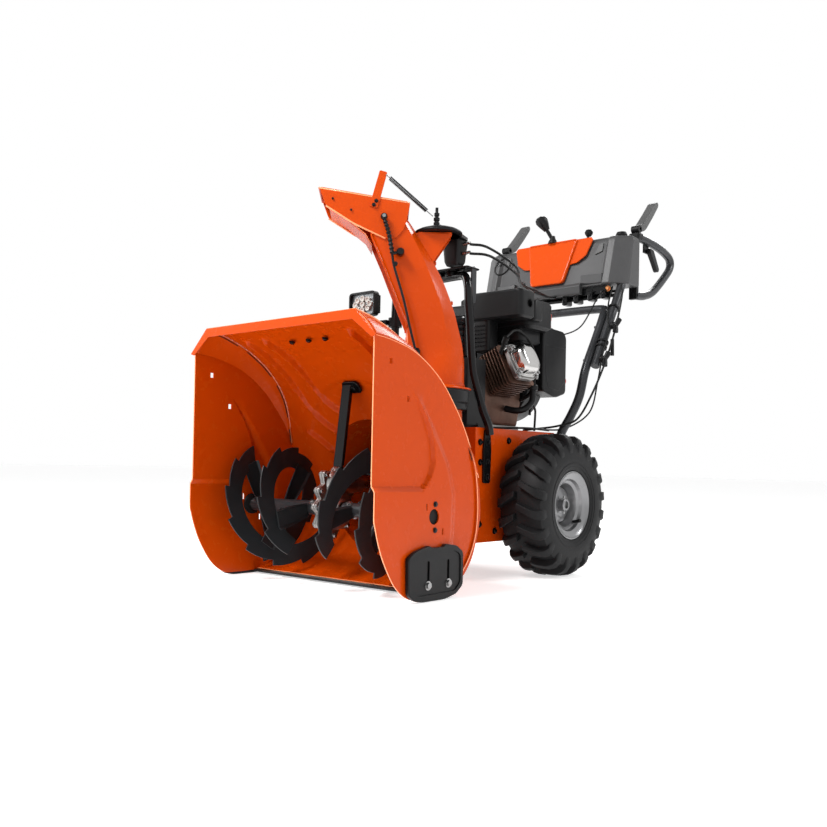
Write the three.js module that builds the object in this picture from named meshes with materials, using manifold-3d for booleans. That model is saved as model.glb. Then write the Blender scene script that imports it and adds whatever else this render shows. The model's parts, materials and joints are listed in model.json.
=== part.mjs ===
// Two stage snowblower, 24 inch class, as an assembly of separate pieces.
// Units are millimetres, +Z is up. The machine drives towards -Y and its left side is +X.
// The origin is on the ground under the middle of the machine.
import * as THREE from 'three';
import { mergeVertices } from 'three/addons/utils/BufferGeometryUtils.js';
import Module from 'manifold-3d';

const wasm = await Module();
wasm.setup();

// ---------------------------------------------------------------- driving dimensions
const FRONT_Y = -744;                    // front edge of the side plates
const HALF_WIDTH = 305;                  // half of the clearing width
const SHEET = 3;                         // steel sheet of the auger housing
const GAP = 0.3;                         // gap kept between touching pieces
const LIP = 22;                          // folded lip round the intake mouth
const TOP_Z = 607;                       // top edge of the intake
const CORNER_Z = 551;                    // where the slanted top corner meets the side
const CORNER_X = 245;                    // where the slanted corner meets the top

const AUGER_Y = FRONT_Y + 193;
const AUGER_Z = 181;
const AUGER_R = 152;                     // 12 inch auger
const AUGER_INNER_R = 98;
const SHAFT_R = 9.5;
const GEAR_HALF = 34;                    // half the width of the auger gear case

const IMPELLER_Z = 240;
const IMPELLER_R = 152;                  // 12 inch impeller
const DRUM_R = 160;                      // inside radius of the impeller drum
const DRUM_BACK_Y = FRONT_Y + 548;

const CHUTE_X = 84;                      // chute turning axis
const CHUTE_Y = FRONT_Y + 460;
const CHUTE_YAW = THREE.MathUtils.degToRad(-138.4);
const CHUTE_BASE_Z = 481;
const NECK_R = 74;
const CHUTE_HALF = 58;                   // half width of the chute channel
const DEFLECTOR_HALF = 62;

const AXLE_Y = FRONT_Y + 793;
const TYRE_R = 191;                      // 15 inch tyre
const AXLE_Z = TYRE_R;
const TYRE_W = 135;
const TYRE_OUT_X = 307;
const RIM_R = 90;
const AXLE_R = 9.5;

const FRAME_HALF = 155;
const FRAME_FRONT_Y = DRUM_BACK_Y + GAP;
const FRAME_BACK_Y = FRONT_Y + 935;
const FRAME_TOP_Z = 390;
const FRAME_LOW_Z = 92;
const CRANK_Z = 497;
const PULLEY_Y = FRONT_Y + 610;

const TUBE_R = 12.7;                     // 1 inch handle tube
const UPPER_X = 240;                     // upper handle tubes
const LOWER_X = 213;                     // lower handle tube
const GRIP_X = 253;

// ---------------------------------------------------------------- materials
function paint(colour, roughness, metalness) {
  return () => new THREE.MeshStandardMaterial({ color: colour, roughness, metalness });
}
const orange = paint(0xe8480c, 0.32, 0.1);
const charcoal = paint(0x2c2d2f, 0.5, 0.3);
const blackPaint = paint(0x0c0c0d, 0.3, 0.2);
const blackPlastic = paint(0x151516, 0.6, 0);
const greyPlastic = paint(0x4b4b4b, 0.55, 0);
const padPlastic = paint(0x6a6a6a, 0.5, 0);
const castAluminium = paint(0xb9b7b4, 0.4, 0.9);
const steel = paint(0x9a9a98, 0.35, 0.9);
const gunmetal = paint(0x45464a, 0.4, 0.6);
const rubber = paint(0x141414, 0.85, 0);
const rimGrey = paint(0x8f8f91, 0.35, 0.7);
const bronze = paint(0xa9752f, 0.4, 0.9);
const redPlastic = paint(0xc32013, 0.4, 0);

// ---------------------------------------------------------------- geometry helpers
const snowblower = new THREE.Group();

function place(name, geometry, material, parent = snowblower) {
  const mesh = new THREE.Mesh(geometry, material());
  mesh.name = name;
  parent.add(mesh);
  return mesh;
}

function solid(geometry) {
  const bare = geometry.clone();
  bare.deleteAttribute('normal');
  bare.deleteAttribute('uv');
  const merged = mergeVertices(bare, 1e-4);
  return new wasm.Manifold(new wasm.Mesh({
    numProp: 3,
    vertProperties: new Float32Array(merged.attributes.position.array),
    triVerts: new Uint32Array(merged.index.array),
  }));
}

function geometryOf(manifold) {
  const mesh = manifold.getMesh();
  const geometry = new THREE.BufferGeometry();
  geometry.setAttribute('position', new THREE.BufferAttribute(mesh.vertProperties, 3));
  geometry.setIndex(new THREE.BufferAttribute(mesh.triVerts, 1));
  return geometry;
}

const join = (...parts) => geometryOf(parts.map(solid).reduce((a, b) => a.add(b)));
const cut = (part, ...tools) => geometryOf(tools.map(solid).reduce((a, b) => a.subtract(b), solid(part)));

function box(x0, x1, y0, y1, z0, z1) {
  const geometry = new THREE.BoxGeometry(x1 - x0, y1 - y0, z1 - z0);
  return geometry.translate((x0 + x1) / 2, (y0 + y1) / 2, (z0 + z1) / 2);
}

// Local x, y and z of a profile go to these directions of the machine.
const ALONG = {
  X: [[0, 1, 0], [0, 0, 1], [1, 0, 0]],
  Y: [[0, 0, 1], [1, 0, 0], [0, 1, 0]],
  Z: [[1, 0, 0], [0, 1, 0], [0, 0, 1]],
};

function turn(geometry, axis) {
  const basis = ALONG[axis].map((v) => new THREE.Vector3(...v));
  return geometry.applyMatrix4(new THREE.Matrix4().makeBasis(...basis));
}

// An outline of points, extruded from `from` to `to` along an axis. For X the outline is
// (y, z), for Y it is (z, x) and for Z it is (x, y).
function extrude(outline, axis, from, to, holes = []) {
  const shape = new THREE.Shape(outline.map((p) => new THREE.Vector2(...p)));
  shape.holes = holes.map((hole) => new THREE.Path(hole.map((p) => new THREE.Vector2(...p))));
  const geometry = new THREE.ExtrudeGeometry(shape, { depth: to - from, bevelEnabled: false });
  return turn(geometry.translate(0, 0, from), axis);
}

function circle(x, y, radius, count = 24, start = 0) {
  return Array.from({ length: count }, (_, i) => {
    const angle = start + (2 * Math.PI * i) / count;
    return [x + radius * Math.cos(angle), y + radius * Math.sin(angle)];
  });
}

// A turned solid. The profile holds (radius, distance along the axis) pairs.
function lathe(profile, axis, centre, segments = 24) {
  const points = profile.map((p) => new THREE.Vector2(...p));
  const geometry = new THREE.LatheGeometry(points, segments);
  geometry.rotateX(Math.PI / 2);
  const merged = orient(geometry);
  return turn(merged, axis).translate(...centre);
}

// Turns a closed mesh the right way out.
function orient(geometry) {
  const bare = geometry.clone();
  bare.deleteAttribute('normal');
  bare.deleteAttribute('uv');
  const merged = mergeVertices(bare, 1e-4);
  const p = merged.attributes.position;
  const index = merged.index.array;
  const kept = [];
  let volume = 0;
  const [a, b, c] = [new THREE.Vector3(), new THREE.Vector3(), new THREE.Vector3()];
  for (let i = 0; i < index.length; i += 3) {
    const [u, v, w] = [index[i], index[i + 1], index[i + 2]];
    if (u === v || v === w || w === u) continue;
    kept.push(u, v, w);
    volume += a.fromBufferAttribute(p, u).dot(b.fromBufferAttribute(p, v).cross(c.fromBufferAttribute(p, w)));
  }
  if (volume < 0) kept.reverse();
  merged.setIndex(kept);
  return merged;
}

function cylinder(axis, centre, radius, from, to, segments = 20) {
  return lathe([[0, from], [radius, from], [radius, to], [0, to]], axis, centre, segments);
}

function rod(from, to, radius, sides = 12) {
  const a = new THREE.Vector3(...from);
  const b = new THREE.Vector3(...to);
  const geometry = new THREE.CylinderGeometry(radius, radius, a.distanceTo(b), sides);
  const up = new THREE.Vector3(0, 1, 0);
  const facing = new THREE.Quaternion().setFromUnitVectors(up, b.clone().sub(a).normalize());
  return geometry.applyQuaternion(facing).translate(...a.add(b).multiplyScalar(0.5).toArray());
}

// A round bar along a smooth curve through the points.
function tube(points, radius, sides = 12, steps = 40) {
  const curve = new THREE.CatmullRomCurve3(points.map((p) => new THREE.Vector3(...p)), false, 'centripetal');
  const section = new THREE.Shape(circle(0, 0, radius, sides).map((p) => new THREE.Vector2(...p)));
  return new THREE.ExtrudeGeometry(section, { steps, bevelEnabled: false, extrudePath: curve });
}

// A closed solid between an outer and an inner grid of points with the same rows.
function shell(outer, inner) {
  const rows = outer.length;
  const columns = outer[0].length;
  const positions = [...outer, ...inner].flat(2);
  const at = (side, i, j) => side * rows * columns + i * columns + j;
  const faces = [];
  const quad = (a, b, c, d) => faces.push(a, b, c, a, c, d);
  for (let i = 0; i + 1 < rows; i++) {
    for (let j = 0; j + 1 < columns; j++) {
      quad(at(0, i, j), at(0, i + 1, j), at(0, i + 1, j + 1), at(0, i, j + 1));
      quad(at(1, i, j), at(1, i, j + 1), at(1, i + 1, j + 1), at(1, i + 1, j));
    }
    quad(at(0, i, 0), at(1, i, 0), at(1, i + 1, 0), at(0, i + 1, 0));
    const last = columns - 1;
    quad(at(0, i, last), at(0, i + 1, last), at(1, i + 1, last), at(1, i, last));
  }
  for (let j = 0; j + 1 < columns; j++) {
    quad(at(0, 0, j), at(0, 0, j + 1), at(1, 0, j + 1), at(1, 0, j));
    const last = rows - 1;
    quad(at(0, last, j), at(1, last, j), at(1, last, j + 1), at(0, last, j + 1));
  }
  const geometry = new THREE.BufferGeometry();
  geometry.setAttribute('position', new THREE.Float32BufferAttribute(positions, 3));
  geometry.setIndex(faces);
  return orient(geometry);
}

// The points of a flat open line moved sideways by a distance, to its left.
function offsetLine(line, distance) {
  return line.map((p, i) => {
    const before = line[Math.max(i - 1, 0)];
    const after = line[Math.min(i + 1, line.length - 1)];
    const [dx, dy] = [after[0] - before[0], after[1] - before[1]];
    const length = Math.hypot(dx, dy);
    return [p[0] - (dy / length) * distance, p[1] + (dx / length) * distance];
  });
}

function curveLine(points, count) {
  const spline = new THREE.SplineCurve(points.map((p) => new THREE.Vector2(...p)));
  return spline.getPoints(count).map((p) => p.toArray());
}

const inRow = (points) => points.map(([y, ...rest]) => [FRONT_Y + y, ...rest]);

function mirrored(geometry) {
  const copy = geometry.clone().scale(-1, 1, 1);
  const order = copy.index
    ? Array.from(copy.index.array)
    : Array.from({ length: copy.attributes.position.count }, (_, i) => i);
  for (let i = 0; i < order.length; i += 3) {
    [order[i + 1], order[i + 2]] = [order[i + 2], order[i + 1]];
  }
  return copy.setIndex(order);
}

// ---------------------------------------------------------------- auger housing
// Back sheet: (distance behind the front edge, height), from the top bar down to the scraper.
const BACK_LINE = curveLine(inRow([
  [-4, 605], [60, 592], [140, 560], [215, 510], [275, 445], [318, 362],
  [346, 280], [357, 200], [350, 130], [322, 75], [275, 32], [218, 13],
]), 26);

function backHalfWidth(z) {
  const blend = THREE.MathUtils.smoothstep(600 - z, 40, 330);
  return CORNER_X + (HALF_WIDTH - SHEET - 1 - CORNER_X) * blend;
}

function housingBack() {
  const across = (line) => line.map(([y, z], i) => {
    const half = backHalfWidth(BACK_LINE[i][1]);
    return [[-half, y, z], [half, y, z]];
  });
  const sheet = shell(across(BACK_LINE), across(offsetLine(BACK_LINE, -SHEET)));
  const lip = box(-CORNER_X, CORNER_X, FRONT_Y - 6, FRONT_Y - 2, TOP_Z - LIP, TOP_Z - 0.2);
  const mouth = cylinder('Y', [0, 0, IMPELLER_Z], DRUM_R, FRONT_Y + 200, FRONT_Y + 420, 40);
  return cut(join(sheet, lip), mouth);
}

// Side plates: flat D-shaped plate, and the slanted strip that joins it to the back sheet.
const SIDE_REAR = curveLine(inRow([
  [0, 551], [59, 545], [136, 526], [214, 481], [276, 418], [325, 347],
  [363, 263], [376, 188], [364, 123], [342, 73], [304, 34],
]), 24);
const SIDE_FRONT = curveLine(inRow([[118, 7], [71, 35], [35, 85], [15, 128], [0, 175]]), 6);

function sidePlate() {
  const outline = [...SIDE_FRONT, ...SIDE_REAR.slice(1)];
  const bearingHole = circle(AUGER_Y, AUGER_Z, 16, 16);
  const plate = extrude(outline, 'X', HALF_WIDTH - SHEET, HALF_WIDTH, [bearingHole]);
  const squareHoles = [[52, 502], [110, 428]].map(([y, z]) => (
    box(HALF_WIDTH - 10, HALF_WIDTH + 10, FRONT_Y + y - 5, FRONT_Y + y + 5, z - 6, z + 6)));
  const cornerLip = extrude([
    [CORNER_Z - 2, HALF_WIDTH - 1.2], [TOP_Z - 3, CORNER_X + 0.8],
    [TOP_Z - LIP, CORNER_X + 0.8], [CORNER_Z - 8, HALF_WIDTH - 16],
  ], 'Y', FRONT_Y - 6, FRONT_Y - 1);
  return cut(join(plate, cornerStrip(), cornerLip), ...squareHoles);
}

// Slanted strip between the side plate's upper edge and the back sheet's edge.
function cornerStrip() {
  const upper = BACK_LINE.filter(([, z]) => z > 262);
  const spread = (line, count) => Array.from({ length: count }, (_, i) => {
    const t = ((line.length - 1) * i) / (count - 1);
    const k = Math.min(Math.floor(t), line.length - 2);
    return line[k].map((v, axis) => THREE.MathUtils.lerp(v, line[k + 1][axis], t - k));
  });
  const onPlate = (inset) => spread(offsetLine(SIDE_REAR.filter(([, z]) => z > 250), -inset), upper.length);
  const surface = (outside, inset, deep) => onPlate(inset).map(([y, z], i) => [
    [HALF_WIDTH - outside, y, z],
    [backHalfWidth(upper[i][1]) + 0.8, Math.max(upper[i][0] - deep, FRONT_Y - 6), upper[i][1] - deep],
  ]);
  return shell(surface(0.9, 1.2, 0), surface(SHEET + 1.6, 4.4, SHEET));
}

function impellerDrum() {
  const along = (radius, from, to, segments = 40) => (
    cylinder('Y', [0, 0, IMPELLER_Z], radius, from, to, segments));
  const front = FRONT_Y + 285;
  const outer = along(DRUM_R + SHEET, front, DRUM_BACK_Y);
  const inner = along(DRUM_R, front - 1, DRUM_BACK_Y - SHEET);
  const neckOuter = cylinder('Z', [CHUTE_X, CHUTE_Y, 0], NECK_R, IMPELLER_Z, CHUTE_BASE_Z - 8, 32);
  const neckInner = cylinder('Z', [CHUTE_X, CHUTE_Y, 0], NECK_R - SHEET, IMPELLER_Z, CHUTE_BASE_Z, 32);
  const shaftHole = along(14, DRUM_BACK_Y - 20, DRUM_BACK_Y + 10, 16);
  const behindSheet = offsetLine(BACK_LINE, GAP);
  const ahead = extrude([...behindSheet, [FRONT_Y - 60, 13], [FRONT_Y - 60, 605]], 'X', -310, 310);
  return cut(join(outer, neckOuter), inner, neckInner, shaftHole, ahead);
}

function skidShoe() {
  const outline = inRow([
    [96, 100], [99, 20], [118, 4], [144, 0], [225, 0], [262, 8],
    [288, 26], [286, 102], [262, 116], [223, 121], [161, 118], [120, 110],
  ]);
  return extrude(outline, 'X', HALF_WIDTH + GAP, HALF_WIDTH + 14);
}

place('housing_back', housingBack(), orange);
place('housing_side_left', sidePlate(), orange);
place('housing_side_right', mirrored(sidePlate()), orange);
place('impeller_drum', impellerDrum(), orange);
place('skid_shoe_left', skidShoe(), blackPlastic);
place('skid_shoe_right', mirrored(skidShoe()), blackPlastic);
place('scraper_bar', box(-300, 300, FRONT_Y + 206, FRONT_Y + 262, 4, 9), charcoal);

// ---------------------------------------------------------------- auger and its gear case
function gearCaseHalf() {
  const bulge = 26;
  const wheelLobe = lathe(
    [[0, 0.4], [47, 0.4], [47, bulge - 6], [34, bulge], [18, GEAR_HALF], [0, GEAR_HALF]],
    'X', [0, AUGER_Y, AUGER_Z], 24);
  const wormLobe = lathe(
    [[0, 0.4], [34, 0.4], [34, 10], [22, 22], [0, 22]], 'X', [0, AUGER_Y, IMPELLER_Z], 20);
  const nose = cylinder('Y', [0, 0, IMPELLER_Z], 22, AUGER_Y + 20, AUGER_Y + 88, 20);
  const rightHalf = box(-60, 0.4, AUGER_Y - 90, AUGER_Y + 120, 100, 320);
  const flange = extrude([
    ...circle(AUGER_Y, AUGER_Z, 56, 20, Math.PI).slice(0, 11),
    [AUGER_Y + 50, AUGER_Z + 34], [AUGER_Y + 42, IMPELLER_Z + 18], [AUGER_Y + 20, IMPELLER_Z + 38],
    [AUGER_Y - 20, IMPELLER_Z + 38], [AUGER_Y - 42, IMPELLER_Z + 18], [AUGER_Y - 50, AUGER_Z + 34],
  ], 'X', 0.4, 6);
  const cavity = [
    cylinder('X', [0, AUGER_Y, AUGER_Z], 40, -1, 18, 24),
    cylinder('Y', [0, 0, IMPELLER_Z], 17, AUGER_Y - 28, AUGER_Y + 90, 20),
    cylinder('X', [0, AUGER_Y, AUGER_Z], SHAFT_R + 1, -1, 60, 16),
  ];
  return cut(join(wheelLobe, wormLobe, nose, flange), rightHalf, ...cavity);
}

// One ribbon flight that winds round the shaft from an inner to an outer end.
function ribbon(fromX, toX, startAngle, sweep) {
  const steps = 26;
  const thickness = 4;
  const surface = (shift) => Array.from({ length: steps + 1 }, (_, i) => {
    const t = i / steps;
    const angle = startAngle + sweep * t;
    const x = fromX + (toX - fromX) * t + shift;
    return [AUGER_INNER_R, AUGER_R].map((radius) => [
      x, AUGER_Y + radius * Math.cos(angle), AUGER_Z + radius * Math.sin(angle),
    ]);
  });
  return shell(surface(0), surface(thickness));
}

// Flat paddle arm from the hub tube out to a ribbon.
function paddle(x, angle) {
  const arm = box(x - 3, x + 5, -24, 24, 8, AUGER_INNER_R + 14);
  return arm.rotateX(angle - Math.PI / 2).translate(0, AUGER_Y, AUGER_Z);
}

function augerHalf() {
  const inner = GEAR_HALF + 10;
  const outer = HALF_WIDTH - 20;
  const sweep = -Math.PI * 1.75;
  const hub = cut(
    cylinder('X', [0, AUGER_Y, AUGER_Z], 17, inner - 6, outer, 16),
    cylinder('X', [0, AUGER_Y, AUGER_Z], SHAFT_R + 0.5, inner - 10, outer + 5, 16));
  const pieces = [];
  for (const start of [0.9, 0.9 + Math.PI]) {
    pieces.push(ribbon(inner + 6, outer - 14, start, sweep));
    for (const t of [0.12, 0.55, 0.95]) {
      pieces.push(paddle(inner + 6 + (outer - inner - 20) * t, start + sweep * t));
    }
  }
  const bore = cylinder('X', [0, AUGER_Y, AUGER_Z], SHAFT_R + 0.5, inner - 10, outer + 5, 16);
  return cut(join(hub, ...pieces), bore);
}

place('gearcase_left', gearCaseHalf(), castAluminium);
place('gearcase_right', mirrored(gearCaseHalf()), castAluminium);
place('auger_left', augerHalf(), charcoal);
place('auger_right', mirrored(augerHalf()), charcoal);
place('auger_shaft', cylinder('X', [0, AUGER_Y, AUGER_Z], SHAFT_R, -298, 298, 16), steel);
place('worm_wheel', cut(
  cylinder('X', [0, AUGER_Y, AUGER_Z], 36, -13, 13, 36),
  cylinder('X', [0, AUGER_Y, AUGER_Z], SHAFT_R + 0.3, -20, 20, 16)), bronze);

function gearBrace() {
  const bar = extrude(inRow([
    [160, 278.5], [160, 284], [204, 284], [212, 290], [246, 462], [214, 500], [222, 510],
    [268, 462], [222, 284], [210, 278.5],
  ]), 'X', -22, 22);
  const wall = offsetLine(BACK_LINE, -SHEET - GAP);
  const behind = extrude([...wall, [FRONT_Y + 500, 13], [FRONT_Y + 500, 605]], 'X', -30, 30);
  return cut(bar, behind);
}
place('gearcase_brace', gearBrace(), blackPaint);

// ---------------------------------------------------------------- impeller and belt drive
function impeller() {
  const back = CHUTE_Y + 66;
  const hub = cylinder('Y', [0, 0, IMPELLER_Z], 24, CHUTE_Y - 40, back, 20);
  const disc = cylinder('Y', [0, 0, IMPELLER_Z], 60, back - 5, back, 24);
  const blades = [0, 1, 2, 3].map((i) => {
    const blade = extrude([
      [14, CHUTE_Y - 44], [70, CHUTE_Y - 62], [IMPELLER_R - 3, CHUTE_Y - 66],
      [IMPELLER_R - 3, back], [14, back],
    ], 'Z', -3, 3);
    const tip = box(IMPELLER_R - 9, IMPELLER_R - 3, CHUTE_Y - 62, back, -3, 26);
    return join(blade, tip).rotateY((i * Math.PI) / 2 + 0.3).translate(0, 0, IMPELLER_Z);
  });
  const bore = cylinder('Y', [0, 0, IMPELLER_Z], SHAFT_R + 0.3, CHUTE_Y - 60, back + 10, 16);
  return cut(join(hub, disc, ...blades), bore);
}

function pulley(radius, y, z, width) {
  const half = width / 2;
  const profile = [
    [SHAFT_R + 0.4, -half], [radius, -half], [radius - 9, 0], [radius, half], [SHAFT_R + 0.4, half],
    [SHAFT_R + 0.4, -half],
  ];
  return lathe(profile, 'Y', [0, y, z], 28);
}

function beltLoop(radiusLow, radiusHigh) {
  const half = Math.PI;
  const arc = (z, radius, start, shift) => Array.from({ length: 11 }, (_, i) => {
    const angle = start + (half * i) / 10;
    return [z + (radius + shift) * Math.cos(angle), (radius + shift) * Math.sin(angle)];
  });
  const loop = (shift) => [
    ...arc(CRANK_Z, radiusHigh, -half / 2, shift),
    ...arc(IMPELLER_Z, radiusLow, half / 2, shift),
  ];
  return extrude(loop(8), 'Y', PULLEY_Y - 5, PULLEY_Y + 5, [loop(0)]);
}

place('impeller', impeller(), charcoal);
place('impeller_shaft', cylinder('Y', [0, 0, IMPELLER_Z], SHAFT_R, AUGER_Y - 24, FRONT_Y + 626, 16), steel);
place('impeller_pulley', pulley(98, PULLEY_Y, IMPELLER_Z, 20), steel);
place('crank_pulley', pulley(36, PULLEY_Y, CRANK_Z, 20), steel);
place('drive_belt', beltLoop(96.2, 34.2), rubber);

// ---------------------------------------------------------------- chute, in its own frame
// Local +X is the way the chute throws, and local Y is across the channel.
const chuteGroup = new THREE.Group();
chuteGroup.position.set(CHUTE_X, CHUTE_Y, 0);
chuteGroup.rotation.z = CHUTE_YAW;
snowblower.add(chuteGroup);

// Height, then how far forward the back wall, the side's corner and the lip are.
const CHUTE_STATIONS = [
  [500, -76, -40, 76], [544, -74, -34, 72], [592, -68, -25, 68], [640, -57, -17, 72],
  [680, -46, -8, 88], [745, -21, 15, 116], [790, 2, 34, 134], [850, 37, 64, 162],
  [884, 59, 84, 168], [906, 74, 96, 140],
];

function chuteChannel() {
  const backHalf = 34;
  const section = (station, inset) => {
    const [z, back, corner, lip] = station;
    const side = CHUTE_HALF - inset;
    return [
      [lip, side, z], [corner, side, z], [back + inset, backHalf - inset * 0.4, z],
      [back + inset, -backHalf + inset * 0.4, z], [corner, -side, z], [lip, -side, z],
    ];
  };
  const channel = shell(
    CHUTE_STATIONS.map((s) => section(s, 0)), CHUTE_STATIONS.map((s) => section(s, SHEET)));
  return channel;
}

// Round collar at the chute's foot, with the flange it turns on.
function chuteCollar() {
  const bore = 75.5;
  return lathe([
    [bore, CHUTE_BASE_Z], [95, CHUTE_BASE_Z], [95, CHUTE_BASE_Z + 4], [bore + SHEET + 1, CHUTE_BASE_Z + 5],
    [bore + SHEET, 560], [bore, 560], [bore, CHUTE_BASE_Z],
  ], 'Z', [0, 0, 0], 32);
}

function chute() {
  const gussetOutline = [[9, 800], [56, 875], [-36, 875], [-36, 866]];
  const bracket = join(
    box(-36, 52, -31, 31, 872, 875),
    chutePlate(gussetOutline, -31, -28),
    chutePlate(gussetOutline, 28, 31));
  return join(chuteChannel(), chuteCollar(), cut(bracket, insideChute()));
}

// The channel's inside, so that the bracket stops at its back wall.
function insideChute() {
  const rows = CHUTE_STATIONS.map(([z, back, , lip]) => [
    [lip, 40, z], [back + 1.5, 40, z], [back + 1.5, -40, z], [lip, -40, z],
  ]);
  const positions = rows.flat(2);
  const faces = [];
  for (let i = 0; i + 1 < rows.length; i++) {
    for (let j = 0; j < 4; j++) {
      const k = (j + 1) % 4;
      const [a, b] = [i * 4, (i + 1) * 4];
      faces.push(a + j, b + j, b + k, a + j, b + k, a + k);
    }
  }
  const top = (rows.length - 1) * 4;
  faces.push(0, 1, 2, 0, 2, 3, top, top + 2, top + 1, top, top + 3, top + 2);
  const geometry = new THREE.BufferGeometry();
  geometry.setAttribute('position', new THREE.Float32BufferAttribute(positions, 3));
  geometry.setIndex(faces);
  return orient(geometry);
}

// A plate in the chute's own forward-and-up plane, between two places across the channel.
function chutePlate(outline, from, to) {
  const flat = new THREE.Shape(outline.map((p) => new THREE.Vector2(...p)));
  const plate = new THREE.ExtrudeGeometry(flat, { depth: to - from, bevelEnabled: false });
  return plate.rotateX(Math.PI / 2).translate(0, to, 0);
}

function deflector() {
  const side = [
    [297, 976], [69, 942], [75, 904], [86, 866], [105, 850], [125, 848], [211, 887], [279, 929],
  ];
  const half = DEFLECTOR_HALF;
  const roof = [[297, 976], [69, 942], [69, 939], [297, 973]];
  const tab = [[147, 1019], [128, 1014], [151, 924], [171, 929]];
  return join(
    chutePlate(side, half - SHEET, half), chutePlate(side, -half, SHEET - half),
    chutePlate(roof, -half, half), chutePlate(tab, half - 0.5, half + 3));
}

function deflectorSpring() {
  return tube([[124, DEFLECTOR_HALF + 10, 1003], [104, 60, 988], [30, 16, 935], [18, 8, 927]], 7, 8, 10);
}

function deflectorCable() {
  const out = DEFLECTOR_HALF + 12;
  return tube([
    [134, out, 902], [122, out, 861], [113, out, 812], [106, out, 776], [82, out, 698],
    [62, out, 617], [46, out, 558],
  ], 5, 8, 18);
}

place('chute_ring', lathe([
  [NECK_R + GAP, 430], [86, 430], [90, 446], [91, CHUTE_BASE_Z - 0.5], [NECK_R + GAP, CHUTE_BASE_Z - 0.5],
  [NECK_R + GAP, 430],
], 'Z', [CHUTE_X, CHUTE_Y, 0], 32), blackPlastic);
place('chute', chute(), orange, chuteGroup);
place('deflector', deflector(), orange, chuteGroup);
place('deflector_spring', deflectorSpring(), steel, chuteGroup);
place('deflector_cable', deflectorCable(), rubber, chuteGroup);

// ---------------------------------------------------------------- chute head and its support
const HEAD_Y = CHUTE_Y + 88;             // the head's gear motor stands behind the turning axis
const HEAD_X = CHUTE_X - 8;

function headCap() {
  const dome = lathe([
    [0, 878], [50, 878], [53, 882], [50, 891], [36, 898], [12, 902], [8, 904], [8, 922], [5, 924],
    [5, 946], [0, 946],
  ], 'Z', [CHUTE_X, CHUTE_Y, 0], 24);
  const arm = extrude([
    [CHUTE_X - 50, CHUTE_Y + 20], [CHUTE_X + 50, CHUTE_Y + 20],
    [HEAD_X + 30, HEAD_Y + 22], [HEAD_X - 26, HEAD_Y + 22],
  ], 'Z', 878, 889);
  return join(dome, arm);
}

function headMotor() {
  const body = extrude([
    [HEAD_X - 24, HEAD_Y - 18], [HEAD_X + 22, HEAD_Y - 20],
    [HEAD_X + 26, HEAD_Y + 18], [HEAD_X - 20, HEAD_Y + 22],
  ], 'Z', 814, 877.6);
  const foot = cylinder('Z', [HEAD_X, HEAD_Y, 0], 16, 809.5, 815, 16);
  return join(body, foot);
}

const SUPPORT_TOP_Z = 792;
function chuteSupport() {
  const r = 11;
  const side = (sign, rise) => [
    [sign * 166.8, FRONT_Y + 593, 374], [sign * 166, FRONT_Y + 588, 398], [sign * 156, FRONT_Y + 576, 436],
    [sign * 146, FRONT_Y + 566, 484], [sign * 134, FRONT_Y + 558, 545],
    [sign * 128, FRONT_Y + 552, 660], [sign * 125, FRONT_Y + 548, 715],
    [sign * 121, FRONT_Y + 549, 755], [sign * 106, FRONT_Y + 557, rise - 8], [sign * 74, FRONT_Y + 572, rise],
  ];
  const arch = tube([
    ...side(1, SUPPORT_TOP_Z), [0, FRONT_Y + 584, SUPPORT_TOP_Z + 2], ...side(-1, SUPPORT_TOP_Z).reverse(),
  ], r, 8, 44);
  const plate = box(-2, 128, FRONT_Y + 536, FRONT_Y + 594, 804, 809);
  const saddle = box(20, 70, FRONT_Y + 566, FRONT_Y + 586, 796, 805);
  const bar = box(124, 128, FRONT_Y + 560, FRONT_Y + 578, 716, 806);
  const foot = (x0, x1) => box(x0, x1, FRONT_Y + 574, FRONT_Y + 610, 243, 384);
  return join(arch, plate, saddle, bar, foot(FRAME_HALF + GAP, 160), foot(-160, -FRAME_HALF - GAP));
}

place('head_cap', headCap(), blackPlastic);
place('head_motor', headMotor(), blackPlastic);
place('chute_support', chuteSupport(), blackPaint);

// Work light on the right hand support tube.
const LIGHT_X = -182;
const LIGHT_Y = FRONT_Y + 488;
const LIGHT_Z = 729;
function workLight() {
  const body = box(LIGHT_X - 48, LIGHT_X + 48, LIGHT_Y - 18, LIGHT_Y, LIGHT_Z - 34, LIGHT_Z + 34);
  const fins = [-38, -22, 22, 38].map((x) => (
    box(LIGHT_X + x - 3, LIGHT_X + x + 3, LIGHT_Y - 2, LIGHT_Y + 16, LIGHT_Z - 28, LIGHT_Z + 28)));
  const lug = box(LIGHT_X - 5, LIGHT_X + 5, LIGHT_Y - 2, LIGHT_Y + 14, LIGHT_Z - 6, LIGHT_Z + 6);
  return join(body, lug, ...fins);
}
function lightBracket() {
  const clamp = cut(
    cylinder('Z', [-127.5, FRONT_Y + 551, 0], 19, 670, 696, 20),
    cylinder('Z', [-127.5, FRONT_Y + 551, 0], 13.5, 660, 700, 20));
  const arm = box(LIGHT_X - 8, -141, FRONT_Y + 528, FRONT_Y + 544, 676, 690);
  const post = box(LIGHT_X - 10, LIGHT_X + 10, FRONT_Y + 505, FRONT_Y + 540, 680, 688);
  const stem = box(LIGHT_X - 10, LIGHT_X + 10, FRONT_Y + 505, FRONT_Y + 510, 680, 735);
  return join(clamp, arm, post, stem);
}
place('work_light', workLight(), blackPlastic);
place('light_bracket', lightBracket(), blackPlastic);

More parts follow.
